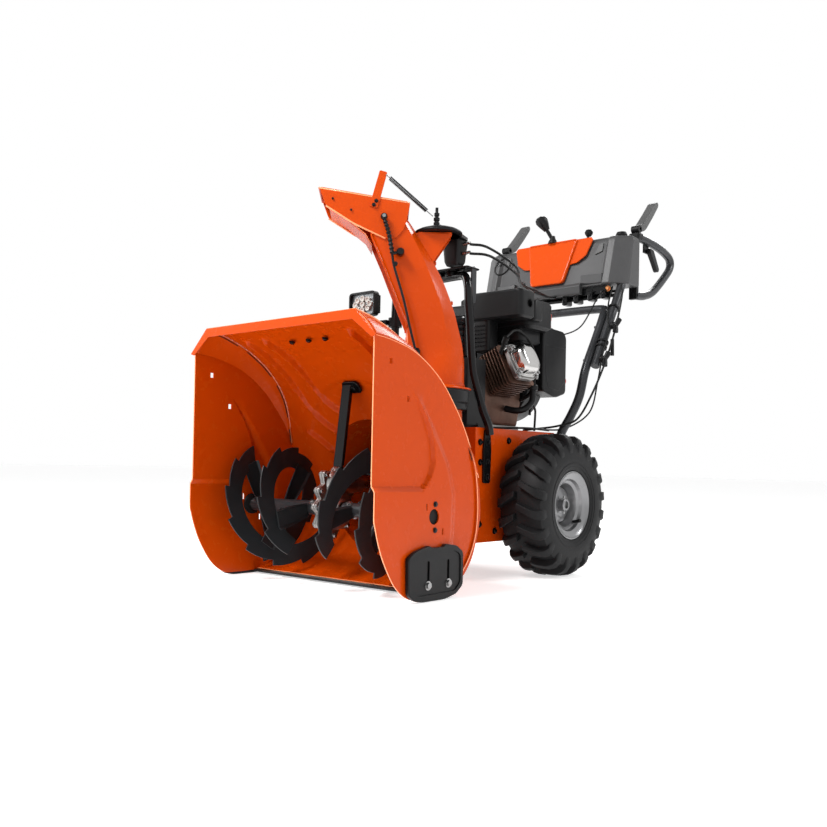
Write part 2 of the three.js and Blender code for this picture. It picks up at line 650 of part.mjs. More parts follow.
// ---------------------------------------------------------------- tractor frame and wheels
function tractorFrame() {
  const outer = extrude([
    [FRAME_FRONT_Y, FRAME_LOW_Z], [FRAME_BACK_Y - 40, FRAME_LOW_Z], [FRAME_BACK_Y, FRAME_LOW_Z + 120],
    [FRAME_BACK_Y, FRAME_TOP_Z], [FRAME_FRONT_Y, FRAME_TOP_Z],
  ], 'X', -FRAME_HALF, FRAME_HALF);
  const inner = box(
    SHEET - FRAME_HALF, FRAME_HALF - SHEET, FRAME_FRONT_Y + SHEET, FRAME_BACK_Y - SHEET - 41,
    FRAME_LOW_Z - 5, FRAME_TOP_Z - SHEET);
  const backRoom = box(
    SHEET - FRAME_HALF, FRAME_HALF - SHEET, FRAME_BACK_Y - 60, FRAME_BACK_Y - SHEET,
    FRAME_LOW_Z + 125, FRAME_TOP_Z - SHEET);
  const axleHole = cylinder('X', [0, AXLE_Y, AXLE_Z], AXLE_R + 1.2, -200, 200, 20);
  const shaftHole = cylinder('Y', [0, 0, IMPELLER_Z], 16, FRAME_FRONT_Y - 5, FRAME_FRONT_Y + 10, 16);
  const beltSlot = box(-90, 90, PULLEY_Y - 30, PULLEY_Y + 18, FRAME_TOP_Z - 10, FRAME_TOP_Z + 5);
  return cut(outer, inner, backRoom, axleHole, shaftHole, beltSlot);
}

function beltCover() {
  const back = FRONT_Y + 640;
  const front = FRONT_Y + 560;
  const outer = box(-118, 118, front, back, FRAME_TOP_Z + GAP, 574);
  const inner = box(-114, 114, front + 4, back + 5, FRAME_TOP_Z - 5, 570);
  return cut(outer, inner);
}

function tyre() {
  const half = TYRE_W / 2;
  const profile = [
    [RIM_R, -58], [112, -half], [150, -half], [180, -56], [TYRE_R, -24], [TYRE_R, 24], [180, 56],
    [150, half], [112, half], [RIM_R, 58], [100, 50], [164, 30], [164, -30], [100, -50], [RIM_R, -58],
  ];
  return lathe(profile, 'X', [TYRE_OUT_X - half, AXLE_Y, AXLE_Z], 32);
}

function rim() {
  const centre = [TYRE_OUT_X - TYRE_W / 2, AXLE_Y, AXLE_Z];
  const hub = lathe([
    [AXLE_R + 0.6, -66], [17, -66], [17, 30], [AXLE_R + 0.6, 30], [AXLE_R + 0.6, -66],
  ], 'X', centre, 16);
  const bowl = lathe([
    [14, 8], [36, 9], [56, 32], [69, 36], [71, -50], [89.6, -54], [89.6, -50], [76, -46],
    [76, 46], [89.6, 50], [89.6, 54], [70, 54], [52, 36], [34, 14], [14, 13], [14, 8],
  ], 'X', centre, 28);
  return join(hub, bowl);
}

place('tractor_frame', tractorFrame(), orange);
place('belt_cover', beltCover(), blackPlastic);
place('wheel_axle', cylinder('X', [0, AXLE_Y, AXLE_Z], AXLE_R, -276, 276, 16), steel);
place('tyre_left', tyre(), rubber);
place('tyre_right', mirrored(tyre()), rubber);
place('rim_left', rim(), rimGrey);
place('rim_right', mirrored(rim()), rimGrey);

// ---------------------------------------------------------------- engine
const ENGINE_Y = FRONT_Y + 740;          // middle of the cylinder
const TILT = THREE.MathUtils.degToRad(25);

// Moves a piece from the cylinder's own frame, with its axis along local X, into place.
function onCylinder(geometry) {
  return geometry.rotateY(-TILT).translate(0, ENGINE_Y, CRANK_Z);
}

function engineBlock() {
  const base = box(-80, 84, FRONT_Y + 655, FRONT_Y + 858, FRAME_TOP_Z + GAP, FRAME_TOP_Z + 16);
  const crankcase = extrude([
    [FRAME_TOP_Z + 10, -76], [FRAME_TOP_Z + 10, 80], [CRANK_Z + 30, 92], [CRANK_Z + 62, 40],
    [CRANK_Z + 62, -40], [CRANK_Z, -78],
  ], 'Y', FRONT_Y + 662, FRONT_Y + 850);
  const barrel = onCylinder(box(40, 176, -48, 48, -46, 46));
  const fins = [96, 112, 128, 144, 160].map((x) => onCylinder(box(x, x + 5, -62, 62, -58, 60)));
  const crank = cylinder('Y', [0, 0, CRANK_Z], 22, FRONT_Y + 645, FRONT_Y + 665, 20);
  return join(base, crankcase, barrel, ...fins, crank);
}

function valveCover() {
  const outline = [[-40, -46], [-46, -20], [-44, 30], [-24, 48], [28, 48], [46, 24], [46, -24], [30, -46]];
  const rimPlate = outline.map(([u, v]) => [u * 1.12, v * 1.1]);
  const cover = join(extrude(rimPlate, 'X', 176.5, 184), extrude(outline, 'X', 183, 218));
  return onCylinder(cover);
}

function mufflerGuard() {
  const shape = extrude([
    [18, FRONT_Y + 690], [176, FRONT_Y + 684], [194, FRONT_Y + 690], [199, FRONT_Y + 702],
    [199, FRONT_Y + 752], [18, FRONT_Y + 752],
  ], 'Z', 676, 768);
  const hole = cylinder('X', [0, FRONT_Y + 722, 726], 11, 190, 210, 16);
  return cut(shape, hole);
}

function muffler() {
  const can = box(-130, 12, FRONT_Y + 688, FRONT_Y + 752, 586, 716);
  const pipe = cylinder('Z', [60, FRONT_Y + 712, 0], 30, 604, 677, 20);
  const link = box(0, 62, FRONT_Y + 700, FRONT_Y + 724, 620, 660);
  return join(can, pipe, link);
}

function fuelTank() {
  const outline = [
    [-132, FRONT_Y + 756], [192, FRONT_Y + 756], [196, FRONT_Y + 764], [196, FRONT_Y + 790],
    [150, FRONT_Y + 884], [-132, FRONT_Y + 884],
  ];
  return extrude(outline, 'Z', 690, 757);
}

function recoilHousing() {
  const centre = [0, 0, CRANK_Z + 40];
  const drum = cylinder('Y', centre, 115, FRONT_Y + 852, FRONT_Y + 946, 32);
  const cap = cylinder('Y', centre, 84, FRONT_Y + 940, FRONT_Y + 984, 28);
  const boss = box(22, 66, FRONT_Y + 945, FRONT_Y + 980, 596, 628);
  return join(drum, cap, boss, sidePanel());
}

function sidePanel() {
  const outline = inRow([[872, 510], [940, 499], [1000, 512], [1000, 684], [872, 690]]);
  const link = box(100, 124, FRONT_Y + 876, FRONT_Y + 936, 520, 620);
  const primerPocket = cylinder('Y', [136, 0, 546], 15.6, FRONT_Y + 992, FRONT_Y + 1002, 16);
  return cut(join(extrude(outline, 'X', 118, 154), link), primerPocket);
}

const KNOB_X = 132;
const KNOB_Y = FRONT_Y + 912;
place('engine_block', engineBlock(), castAluminium);
place('valve_cover', valveCover(), castAluminium);
place('muffler', join(muffler(), mufflerGuard()), blackPaint);
place('fuel_tank', fuelTank(), blackPlastic);
place('fuel_cap', cylinder('Z', [-60, FRONT_Y + 822, 0], 34, 757.4, 782, 24), blackPlastic);
place('recoil_housing', recoilHousing(), blackPlastic);
place('choke_knob', join(
  cylinder('Z', [KNOB_X, KNOB_Y, 0], 17, 691, 716, 16),
  box(KNOB_X - 18, KNOB_X + 18, KNOB_Y - 7, KNOB_Y + 7, 714, 736)), redPlastic);
place('primer_bulb', lathe([[0, 0.4], [15, 0.4], [15, 5], [11, 11], [5, 14], [0, 14]],
  'Y', [136, FRONT_Y + 1000, 546], 16), redPlastic);
place('starter_grip', box(20, 68, FRONT_Y + 984.5, FRONT_Y + 1002, 601, 623), blackPlastic);

// ---------------------------------------------------------------- handles
// The handle rises on this slope, the same for the lower and the upper tubes.
const handleY = (z) => FRONT_Y + 1077 + 0.596 * (z - 694);

function lowerHandle() {
  const side = (sign) => [
    [sign * 168.5, FRONT_Y + 934, 358], [sign * 170, FRONT_Y + 955, 396], [sign * 188, FRONT_Y + 970, 440],
    [sign * 206, FRONT_Y + 986, 498], [sign * LOWER_X, handleY(580) - 2, 580],
    [sign * LOWER_X, handleY(680), 680], [sign * LOWER_X, handleY(738), 738],
    [sign * 204, FRONT_Y + 1128, 762], [sign * 180, FRONT_Y + 1144, 775],
  ];
  return tube([...side(1), [0, FRONT_Y + 1147, 777], ...side(-1).reverse()], TUBE_R, 10, 40);
}

function upperHandle() {
  return tube([
    [UPPER_X, handleY(585), 585], [UPPER_X, handleY(700), 700], [UPPER_X, handleY(845), 845],
  ], TUBE_R, 12, 4);
}

// Plan outline of the dash, then its front leans back as it rises.
const DASH_LOW_Z = 848;
const DASH_TOP_Z = 1003;
const DASH_LEAN = 0.28;
const DASH_FRONT = 1124;                 // behind the front edge, at the dash's foot
const DASH_REAR = 1240;
const DASH_HALF = 262;
function dashOutline(inset) {
  const half = DASH_HALF - inset;
  const front = DASH_FRONT + inset;
  return inRow([
    [DASH_REAR - inset, -half], [DASH_REAR - inset, half], [front + 26, half],
    [front, 215], [front + 8, 0], [front, -215], [front + 26, -half],
  ]).map(([y, x]) => [x, y]);
}
function dashBlock(inset, low, top) {
  const geometry = extrude(dashOutline(inset), 'Z', low, top);
  const p = geometry.attributes.position;
  const rear = FRONT_Y + DASH_REAR;
  for (let i = 0; i < p.count; i++) {
    const share = THREE.MathUtils.clamp((rear - p.getY(i)) / 90, 0, 1);
    p.setY(i, p.getY(i) + share * DASH_LEAN * (p.getZ(i) - DASH_LOW_Z));
  }
  return orient(geometry);
}
function dashPanel() {
  const wall = 4;
  return cut(dashBlock(0, DASH_LOW_Z, DASH_TOP_Z), dashBlock(wall, DASH_LOW_Z - 5, DASH_TOP_Z - wall));
}
function dashCover() {
  const lean = (z) => FRONT_Y + DASH_FRONT + 8 + DASH_LEAN * (z - DASH_LOW_Z);
  const shape = [
    [868, -32], [880, -64], [990, -88], [1004, -86], [1004, 86], [990, 88], [880, 64], [868, 32],
  ];
  const slab = extrude(shape, 'Y', 0, 13);
  const p = slab.attributes.position;
  for (let i = 0; i < p.count; i++) p.setY(i, p.getY(i) + lean(p.getZ(i)) - 20);
  const top = box(-86, 86, lean(1003) - 14, FRONT_Y + 1228, 1003.4, 1009);
  return cut(join(orient(slab), top), dashBlock(-GAP, DASH_LOW_Z, DASH_TOP_Z + GAP));
}

// Loop grip at the rear of each upper handle tube.
function gripLoop() {
  return tube([
    [UPPER_X, FRONT_Y + 1248, 1006], [246, FRONT_Y + 1296, 1008], [GRIP_X, FRONT_Y + 1380, 1000],
    [GRIP_X, FRONT_Y + 1448, 988], [GRIP_X, FRONT_Y + 1479.5, 974], [GRIP_X, FRONT_Y + 1481.3, 952],
    [GRIP_X, FRONT_Y + 1450, 922], [GRIP_X, FRONT_Y + 1360, 856], [250, FRONT_Y + 1300, 832],
    [244, FRONT_Y + 1248, 826],
  ], TUBE_R, 8, 24);
}
function gripBracket() {
  const bracket = box(UPPER_X - 14, UPPER_X + 14, FRONT_Y + DASH_REAR + 0.4, FRONT_Y + 1256, 812, 1019);
  const triggerHanger = box(240, 245.6, FRONT_Y + 1314, FRONT_Y + 1338, 970, 1000);
  return [bracket, triggerHanger];
}

// A control lever: arm with its pad, hinged on the dash's rear top edge.
const LEVER_Y = FRONT_Y + 1262;
const LEVER_Z = 1034;
function controlLever() {
  const boss = cylinder('X', [0, LEVER_Y, LEVER_Z], 12, 226, 250, 16);
  const pad = extrude(inRow([
    [1252, 1038], [1288, 1056], [1372, 1142], [1384, 1146],
    [1392, 1138], [1388, 1126], [1304, 1036], [1270, 1024],
  ]), 'X', 226, 252);
  return join(boss, pad);
}
function steerTrigger() {
  return extrude(inRow([
    [1318, 984], [1344, 982], [1360, 962], [1386, 928], [1380, 918], [1370, 920], [1346, 946], [1322, 970],
  ]), 'X', 246, 260);
}

const both = (name, make, material) => {
  place(`${name}_left`, make(), material);
  place(`${name}_right`, mirrored(make()), material);
};
place('lower_handle', lowerHandle(), gunmetal);
both('upper_handle', upperHandle, gunmetal);
place('dash_panel', dashPanel(), greyPlastic);
place('dash_cover', dashCover(), orange);
both('grip_loop', () => join(gripLoop(), ...gripBracket()), gunmetal);
place('drive_lever', controlLever(), padPlastic);
place('auger_lever', mirrored(controlLever()), padPlastic);
both('steer_trigger', steerTrigger, blackPlastic);
place('chute_joystick', join(
  rod([0, FRONT_Y + 1166, 1018], [-18, FRONT_Y + 1144, 1060], 6, 10),
  new THREE.SphereGeometry(19, 12, 8).translate(-21, FRONT_Y + 1140, 1069)), blackPlastic);
place('speed_lever', join(
  rod([105, FRONT_Y + 1196, 1007], [107, FRONT_Y + 1199, 1024], 4, 10),
  new THREE.SphereGeometry(13, 10, 7).translate(108, FRONT_Y + 1200, 1032)), blackPlastic);

// ---------------------------------------------------------------- cables held at both ends
place('head_cable', tube([
  [HEAD_X + 31, HEAD_Y + 2, 862], [HEAD_X + 62, HEAD_Y + 50, 858], [HEAD_X + 50, HEAD_Y + 200, 836],
  [66, FRONT_Y + 880, 826], [46, FRONT_Y + 1000, 824], [28, FRONT_Y + 1120, 824], [20, FRONT_Y + 1162, 862],
], 4, 6, 26), rubber);
place('drive_cable', tube([
  [254, FRONT_Y + 1140, 841], [266, FRONT_Y + 1120, 800], [266, FRONT_Y + 1082, 700],
  [264, FRONT_Y + 1030, 600], [246, FRONT_Y + 984, 500], [214, FRONT_Y + 960, 430],
  [170, FRONT_Y + 930, 410], [120, FRONT_Y + 900, 401], [84, FRONT_Y + 880, 395],
], 4, 6, 30), rubber);

export default snowblower;
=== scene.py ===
import json
import math

import bmesh
import bpy
from mathutils import Matrix, Vector


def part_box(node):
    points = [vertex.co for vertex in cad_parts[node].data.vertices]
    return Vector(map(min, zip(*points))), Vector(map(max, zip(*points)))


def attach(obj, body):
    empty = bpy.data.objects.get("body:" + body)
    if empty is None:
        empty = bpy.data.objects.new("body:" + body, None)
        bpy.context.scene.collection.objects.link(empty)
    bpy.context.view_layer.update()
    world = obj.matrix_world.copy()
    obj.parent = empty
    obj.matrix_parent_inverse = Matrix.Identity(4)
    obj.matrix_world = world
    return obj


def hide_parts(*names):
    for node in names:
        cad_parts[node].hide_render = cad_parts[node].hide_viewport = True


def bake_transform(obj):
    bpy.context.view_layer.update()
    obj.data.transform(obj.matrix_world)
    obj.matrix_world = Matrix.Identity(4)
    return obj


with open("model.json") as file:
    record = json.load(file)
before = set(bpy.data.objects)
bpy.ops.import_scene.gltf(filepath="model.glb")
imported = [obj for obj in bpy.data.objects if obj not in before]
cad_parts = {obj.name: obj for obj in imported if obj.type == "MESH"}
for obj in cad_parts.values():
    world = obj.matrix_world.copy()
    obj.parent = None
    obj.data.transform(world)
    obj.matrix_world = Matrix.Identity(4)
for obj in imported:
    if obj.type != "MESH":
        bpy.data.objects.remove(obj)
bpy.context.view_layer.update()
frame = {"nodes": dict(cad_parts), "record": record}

# ------------------------------------------------------------------ places taken from the frame, in mm
MM = 0.001
JOINTS = {j["name"]: j for j in frame["record"]["behaviour"]["joints"]}


def hand(sign):
    return "left" if sign > 0 else "right"


def low(node):
    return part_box(node)[0] / MM


def high(node):
    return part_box(node)[1] / MM


def middle(node):
    return (low(node) + high(node)) / 2


def pivot(joint):
    return Vector(JOINTS[joint]["pos_m"]) / MM


PLATE = 3
LIP_DEPTH = 6
HANDLE_RADIUS = 12.7
LOOP_RADIUS = 12.6
ARCH_RADIUS = 11
CABLE_RADIUS = 3.4
BLADES = 4
FLIGHT_TEETH = 12
LUGS = 20
FINS = 9
FIN_PITCH = 9.5
SPRING_TURNS = 34
DASH_LEAN = 0.28
FRONT = low("housing_back").y + LIP_DEPTH
HALF = high("housing_side_left").x
AUGER = middle("auger_shaft")
IMPELLER = Vector((0, middle("impeller").y, middle("impeller_shaft").z))
AXLE = middle("wheel_axle")
CHUTE = pivot("chute_turn")
ACROSS = Vector(JOINTS["deflector_tilt"]["axis"])
THROW = Vector((ACROSS.y, -ACROSS.x, 0))


def at(x, y, z):
    """A place given by how far it is behind the housing's front edge."""
    return Vector((x, FRONT + y, z))


def on_chute(forward, side, z):
    """A place in the chute's own frame: forward is the way it throws."""
    return Vector((CHUTE.x, CHUTE.y, 0)) + THROW * forward + ACROSS * side + Vector((0, 0, z))


PIN_Z = pivot("deflector_tilt").z


def on_deflector(forward, side, up):
    """A place in the chute's frame, with its height measured from the deflector's pivot."""
    return on_chute(forward, side, PIN_Z + up)


# ------------------------------------------------------------------ materials
def material(name, colour, rough, metal=0.0, coat=0.0, mottle=0.06, grain=0.05, bump=0.05, scale=40.0,
             shine=0.35):
    """A procedural finish: broad colour change, fine roughness change and a fine surface grain."""
    made = bpy.data.materials.new(name)
    made.use_nodes = True
    nodes, links = made.node_tree.nodes, made.node_tree.links
    shader = nodes["Principled BSDF"]
    shader.inputs["Metallic"].default_value = metal
    shader.inputs["Coat Weight"].default_value = coat
    shader.inputs["Coat Roughness"].default_value = 0.06
    shader.inputs["Specular IOR Level"].default_value = shine
    place = nodes.new("ShaderNodeTexCoord")

    def cloud(size, detail):
        texture = nodes.new("ShaderNodeTexNoise")
        texture.inputs["Scale"].default_value = size
        texture.inputs["Detail"].default_value = detail
        links.new(place.outputs["Object"], texture.inputs["Vector"])
        return texture.outputs["Fac"]

    broad, fine = cloud(scale / 8, 4.0), cloud(scale * 10, 3.0)
    ramp = nodes.new("ShaderNodeValToRGB")
    ramp.color_ramp.elements[0].position = 0.3
    ramp.color_ramp.elements[1].position = 0.7
    ramp.color_ramp.elements[0].color = [c * (1 - mottle) for c in colour] + [1]
    ramp.color_ramp.elements[1].color = [min(1, c * (1 + mottle)) for c in colour] + [1]
    links.new(broad, ramp.inputs["Fac"])
    links.new(ramp.outputs["Color"], shader.inputs["Base Color"])
    spread = nodes.new("ShaderNodeMapRange")
    spread.inputs["To Min"].default_value = max(0.02, rough - grain)
    spread.inputs["To Max"].default_value = min(1, rough + grain)
    links.new(cloud(scale, 5.0), spread.inputs["Value"])
    links.new(spread.outputs["Result"], shader.inputs["Roughness"])
    relief = nodes.new("ShaderNodeBump")
    relief.inputs["Strength"].default_value = bump
    relief.inputs["Distance"].default_value = 0.0003
    links.new(fine, relief.inputs["Height"])
    links.new(relief.outputs["Normal"], shader.inputs["Normal"])
    return made


ORANGE = material("orange_coat", (0.5, 0.05, 0.0006), 0.27, coat=0.1, mottle=0.015, grain=0.02,
                  bump=0.02, shine=0.1)
# A paler orange for sheet rims and folds: a painted highlight along the edges, not a paint colour of its own.
PAINTED_EDGE_HIGHLIGHT = material("orange_painted_edge_highlight", (0.95, 0.33, 0.14), 0.35, coat=0.5, mottle=0.04)
CHARCOAL = material("charcoal_coat", (0.013, 0.0145, 0.016), 0.38, coat=0.05, mottle=0.15, bump=0.15,
                    shine=0.2)
BLACK = material("black_gloss_coat", (0.004, 0.004, 0.0045), 0.2, coat=0.2, mottle=0.1, shine=0.15)
PLASTIC = material("black_plastic", (0.006, 0.006, 0.0065), 0.4, mottle=0.12, bump=0.2, scale=90, shine=0.2)
DASH = material("grey_dash_plastic", (0.05, 0.05, 0.051), 0.42, mottle=0.05, bump=0.25, scale=140, shine=0.3)
PAD = material("grey_pad_plastic", (0.075, 0.075, 0.075), 0.42, mottle=0.05, bump=0.12, scale=140, shine=0.3)
CAST = material("cast_aluminium", (0.33, 0.32, 0.31), 0.33, metal=1.0, mottle=0.1, bump=0.35, scale=120)
POLISHED = material("polished_aluminium", (0.5, 0.49, 0.48), 0.16, metal=1.0, mottle=0.04, bump=0.08)
ZINC = material("zinc_steel", (0.32, 0.32, 0.32), 0.28, metal=1.0, mottle=0.08, bump=0.1, scale=160)
RUSTY = material("warm_cast_iron", (0.13, 0.07, 0.05), 0.5, metal=0.8, mottle=0.3, bump=0.4, scale=150)
TUBE = material("gunmetal_coat", (0.04, 0.041, 0.044), 0.34, metal=0.5, coat=0.08, mottle=0.08, shine=0.2)
RUBBER = material("cable_rubber", (0.005, 0.005, 0.005), 0.5, mottle=0.1, bump=0.2, scale=120, shine=0.2)
TYRE = material("tyre_rubber", (0.006, 0.006, 0.0065), 0.55, mottle=0.2, bump=0.5, scale=110, shine=0.18)
RIM = material("rim_silver_coat", (0.22, 0.22, 0.225), 0.3, metal=0.75, coat=0.2, mottle=0.06)
RED = material("red_plastic", (0.62, 0.045, 0.015), 0.35, mottle=0.06)
COPPER = material("copper_bolt", (0.7, 0.3, 0.12), 0.3, metal=1.0, mottle=0.1)
SILVER = material("reflector_silver", (0.3, 0.31, 0.32), 0.32, metal=1.0, mottle=0.06, bump=0.3, scale=300)
LENS = material("lens_clear", (0.5, 0.5, 0.47), 0.12, coat=0.8, mottle=0.04)
# Near black used as painted shade: it fills seams, holes and vent slots where shade falls.
PAINTED_SHADE_BLACK = material("painted_shade_black", (0.004, 0.004, 0.004), 0.8, mottle=0.1)


# ------------------------------------------------------------------ shapes: each is (points in mm, faces)
def merge(*shapes):
    points, faces = [], []
    for shape_points, shape_faces in shapes:
        start = len(points)
        points += list(shape_points)
        faces += [[start + i for i in face] for face in shape_faces]
    return points, faces


def moved(shape, change):
    return [change(Vector(p)) for p in shape[0]], shape[1]


def loft(rows, around=False, capped=False):
    """Quads between rows of points. Round rows close on themselves, and capped ends are filled."""
    count = len(rows[0])
    points = [p for row in rows for p in row]
    faces = []
    for i in range(len(rows) - 1):
        for j in range(count if around else count - 1):
            k = (j + 1) % count
            faces.append([i * count + j, i * count + k, (i + 1) * count + k, (i + 1) * count + j])
    if capped:
        faces.append(list(range(count - 1, -1, -1)))
        faces.append([(len(rows) - 1) * count + j for j in range(count)])
    return points, faces


def bar_of(rows):
    return loft(rows, around=True, capped=True)


def spline(points, count):
    """A smooth curve through the points, as count + 1 places."""
    p = [Vector(q) for q in points]
    p = [2 * p[0] - p[1]] + p + [2 * p[-1] - p[-2]]
    made = []
    for step in range(count + 1):
        t = step / count * (len(p) - 3)
        i = min(int(t), len(p) - 4)
        u = t - i
        a, b, c, d = p[i : i + 4]
        made.append(
            0.5 * (2 * b + (c - a) * u + (2 * a - 5 * b + 4 * c - d) * u * u
                   + (3 * b - a - 3 * c + d) * u ** 3)
        )
    return made


def sweep(path, radius, sides=14, twist=0.0, flat=1.0):
    """A bar along a path. The radius is a number or a function of the share of the way along."""
    path = [Vector(p) for p in path]
    rows = []
    side = None
    for i, p in enumerate(path):
        ahead = (path[min(i + 1, len(path) - 1)] - path[max(i - 1, 0)]).normalized()
        if side is None:
            side = ahead.orthogonal().normalized()
        side = (side - ahead * side.dot(ahead)).normalized()
        up = ahead.cross(side)
        r = radius(i / (len(path) - 1)) if callable(radius) else radius
        rows.append([
            p + r * (math.cos(a) * side + flat * math.sin(a) * up)
            for a in (2 * math.pi * k / sides + twist for k in range(sides))
        ])
    return bar_of(rows)


def turned(profile, axis, centre, segments=40):
    """A profile of (radius, distance along the axis) turned round an axis. It starts and ends on the axis
    or closes on itself."""
    axis = Vector(axis).normalized()
    side = axis.orthogonal().normalized()
    up = axis.cross(side)
    points, faces, rings = [], [], []
    for r, along in profile:
        start = len(points)
        if abs(r) < 1e-6:
            points.append(Vector(centre) + axis * along)
            rings.append([start])
            continue
        for k in range(segments):
            a = 2 * math.pi * k / segments
            points.append(Vector(centre) + axis * along + r * (math.cos(a) * side + math.sin(a) * up))
        rings.append(list(range(start, start + segments)))
    for one, two in zip(rings, rings[1:]):
        for k in range(segments):
            n = (k + 1) % segments
            if len(one) == 1 and len(two) > 1:
                faces.append([one[0], two[n], two[k]])
            elif len(two) == 1 and len(one) > 1:
                faces.append([one[k], one[n], two[0]])
            elif len(one) > 1:
                faces.append([one[k], one[n], two[n], two[k]])
    return points, faces


def peg(radius, start, end, axis, centre, segments):
    """A round bar between two distances along an axis."""
    return turned([(0, start), (radius, start), (radius, end), (0, end)], axis, centre, segments)


def hoop(inner, outer, start, end, axis, centre, segments):
    """A round tube between two distances along an axis."""
    profile = [(inner, start), (outer, start), (outer, end), (inner, end), (inner, start)]
    return turned(profile, axis, centre, segments)


def rod(start, end, radius, segments=20):
    start, end = Vector(start), Vector(end)
    return peg(radius, 0, (end - start).length, end - start, start, segments)


def prism(outline, place, depth):
    """An outline extruded. place(u, v, w) gives the point at depth w."""
    points = [place(u, v, 0) for u, v in outline] + [place(u, v, depth) for u, v in outline]
    count = len(outline)
    faces = [[i, (i + 1) % count, count + (i + 1) % count, count + i] for i in range(count)]
    return points, faces + [list(range(count - 1, -1, -1)), list(range(count, 2 * count))]


def block(x0, x1, y0, y1, z0, z1):
    return prism([(x0, y0), (x1, y0), (x1, y1), (x0, y1)], lambda x, y, z: at(x, y, z0 + z), z1 - z0)


def bolt(centre, axis, size=7, washer=True):
    """A hexagon head on its washer."""
    axis = Vector(axis).normalized()
    head = turned([(0, 0), (size * 0.9, 0), (size * 0.9, size * 0.55), (size * 0.75, size * 0.7),
                   (0, size * 0.7)],
                  axis, Vector(centre) + axis * 1.4, 6)
    disc = peg(size * 1.25, 0, 1.5, axis, centre, 20)
    return merge(head, disc) if washer else head


def rounded(outline, radius, steps=4):
    """A flat outline with its corners rounded."""
    made = []
    count = len(outline)
    for i, corner in enumerate(outline):
        p, q, r = Vector(outline[i - 1]), Vector(corner), Vector(outline[(i + 1) % count])
        reach = min(radius, (p - q).length * 0.45, (r - q).length * 0.45)
        a, b = q + (p - q).normalized() * reach, q + (r - q).normalized() * reach
        for k in range(steps + 1):
            t = k / steps
            made.append(tuple(a * (1 - t) ** 2 + 2 * q * t * (1 - t) + b * t * t))
    return made


def make(name, shape, finish, body="chassis", replaces=(), bevel=0.0, sheet=0.0, crease=32, rim=None,
         outward=0.0, bend=None):
    """Turns a shape into an object of the model that rides on a body of the frame. With bend, which is
    (second body, start, end), the mesh is baked where it stands and rides on no body; the second body and the
    two places are not used."""
    mesh = bpy.data.meshes.new(name)
    mesh.from_pydata([tuple(Vector(p) * MM) for p in shape[0]], [], shape[1])
    work = bmesh.new()
    work.from_mesh(mesh)
    bmesh.ops.remove_doubles(work, verts=work.verts, dist=2e-6)
    bmesh.ops.recalc_face_normals(work, faces=work.faces)
    for face in work.faces:
        face.smooth = True
    for edge in work.edges:
        turn = edge.calc_face_angle(0.0) if len(edge.link_faces) == 2 else 0.0
        edge.smooth = turn < math.radians(crease)
    work.to_mesh(mesh)
    work.free()
    mesh.materials.append(finish)
    obj = bpy.data.objects.new(name, mesh)
    bpy.context.collection.objects.link(obj)
    if sheet:
        solid = obj.modifiers.new("sheet", "SOLIDIFY")
        solid.thickness = sheet * MM
        solid.offset = outward
        # The rim faces take the rim finish; the pale orange one given for the sheets paints a highlight along
        # their edges.
        if rim:
            mesh.materials.append(rim)
            solid.material_offset_rim = 1
    if bevel:
        edges = obj.modifiers.new("edges", "BEVEL")
        edges.width = bevel * MM
        edges.segments = 2
        edges.limit_method = "ANGLE"
        edges.angle_limit = math.radians(crease)
        obj.modifiers.new("normals", "WEIGHTED_NORMAL").keep_sharp = True
    if replaces:
        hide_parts(*replaces)
    if bend:
        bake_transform(obj)
    else:
        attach(obj, body)
    return obj


def carve(obj, *shapes):
    """Cuts closed shapes out of an object for good."""
    for number, shape in enumerate(shapes):
        mesh = bpy.data.meshes.new(f"{obj.name}_cut_{number}")
        mesh.from_pydata([tuple(Vector(p) * MM) for p in shape[0]], [], shape[1])
        work = bmesh.new()
        work.from_mesh(mesh)
        bmesh.ops.recalc_face_normals(work, faces=work.faces)
        work.to_mesh(mesh)
        work.free()
        tool = bpy.data.objects.new(mesh.name, mesh)
        bpy.context.collection.objects.link(tool)
        cut = obj.modifiers.new(f"cut_{number}", "BOOLEAN")
        cut.operation = "DIFFERENCE"
        cut.object = tool
        cut.solver = "EXACT"
        bpy.context.view_layer.update()
        done = bpy.data.meshes.new_from_object(obj.evaluated_get(bpy.context.evaluated_depsgraph_get()))
        obj.modifiers.clear()
        obj.data = done
        bpy.data.objects.remove(tool)
    return obj


def finish_node(node, finish, bevel=0.6, angle=34):
    """Gives a frame node its finish and softened edges. Its mesh stays as it is."""
    obj = frame["nodes"][node]
    for part in obj.material_slots:
        part.material = finish
    edges = obj.modifiers.new("edges", "BEVEL")
    edges.width = bevel * MM
    edges.segments = 2
    edges.limit_method = "ANGLE"
    edges.angle_limit = math.radians(angle)
    return obj


def ease(x, start, end):
    t = min(1.0, max(0.0, (x - start) / (end - start)))
    return t * t * (3 - 2 * t)


def along(table, key):
    """The value at key in a table of (key, value) with rising keys."""
    if key <= table[0][0]:
        return table[0][1]
    for (a, va), (b, vb) in zip(table, table[1:]):
        if key <= b:
            return va + (vb - va) * (key - a) / (b - a)
    return table[-1][1]


# ------------------------------------------------------------------ auger housing
BACK = [(y, z) for y, z in [
    (-4, 605), (60, 592), (140, 560), (215, 510), (275, 445), (318, 362),
    (346, 280), (357, 200), (350, 130), (322, 75), (275, 32), (218, 13),
]]
SIDE_REAR = [
    (0, 551), (59, 545), (136, 526), (214, 481), (276, 418), (325, 347), (363, 263), (376, 188),
    (364, 123), (342, 73), (304, 34), (250, 14), (180, 7), (118, 7), (71, 35), (35, 85), (15, 128), (0, 175),
]
CORNER = 245


def back_half(z):
    return CORNER + (HALF - 4 - CORNER) * ease(600 - z, 40, 330)


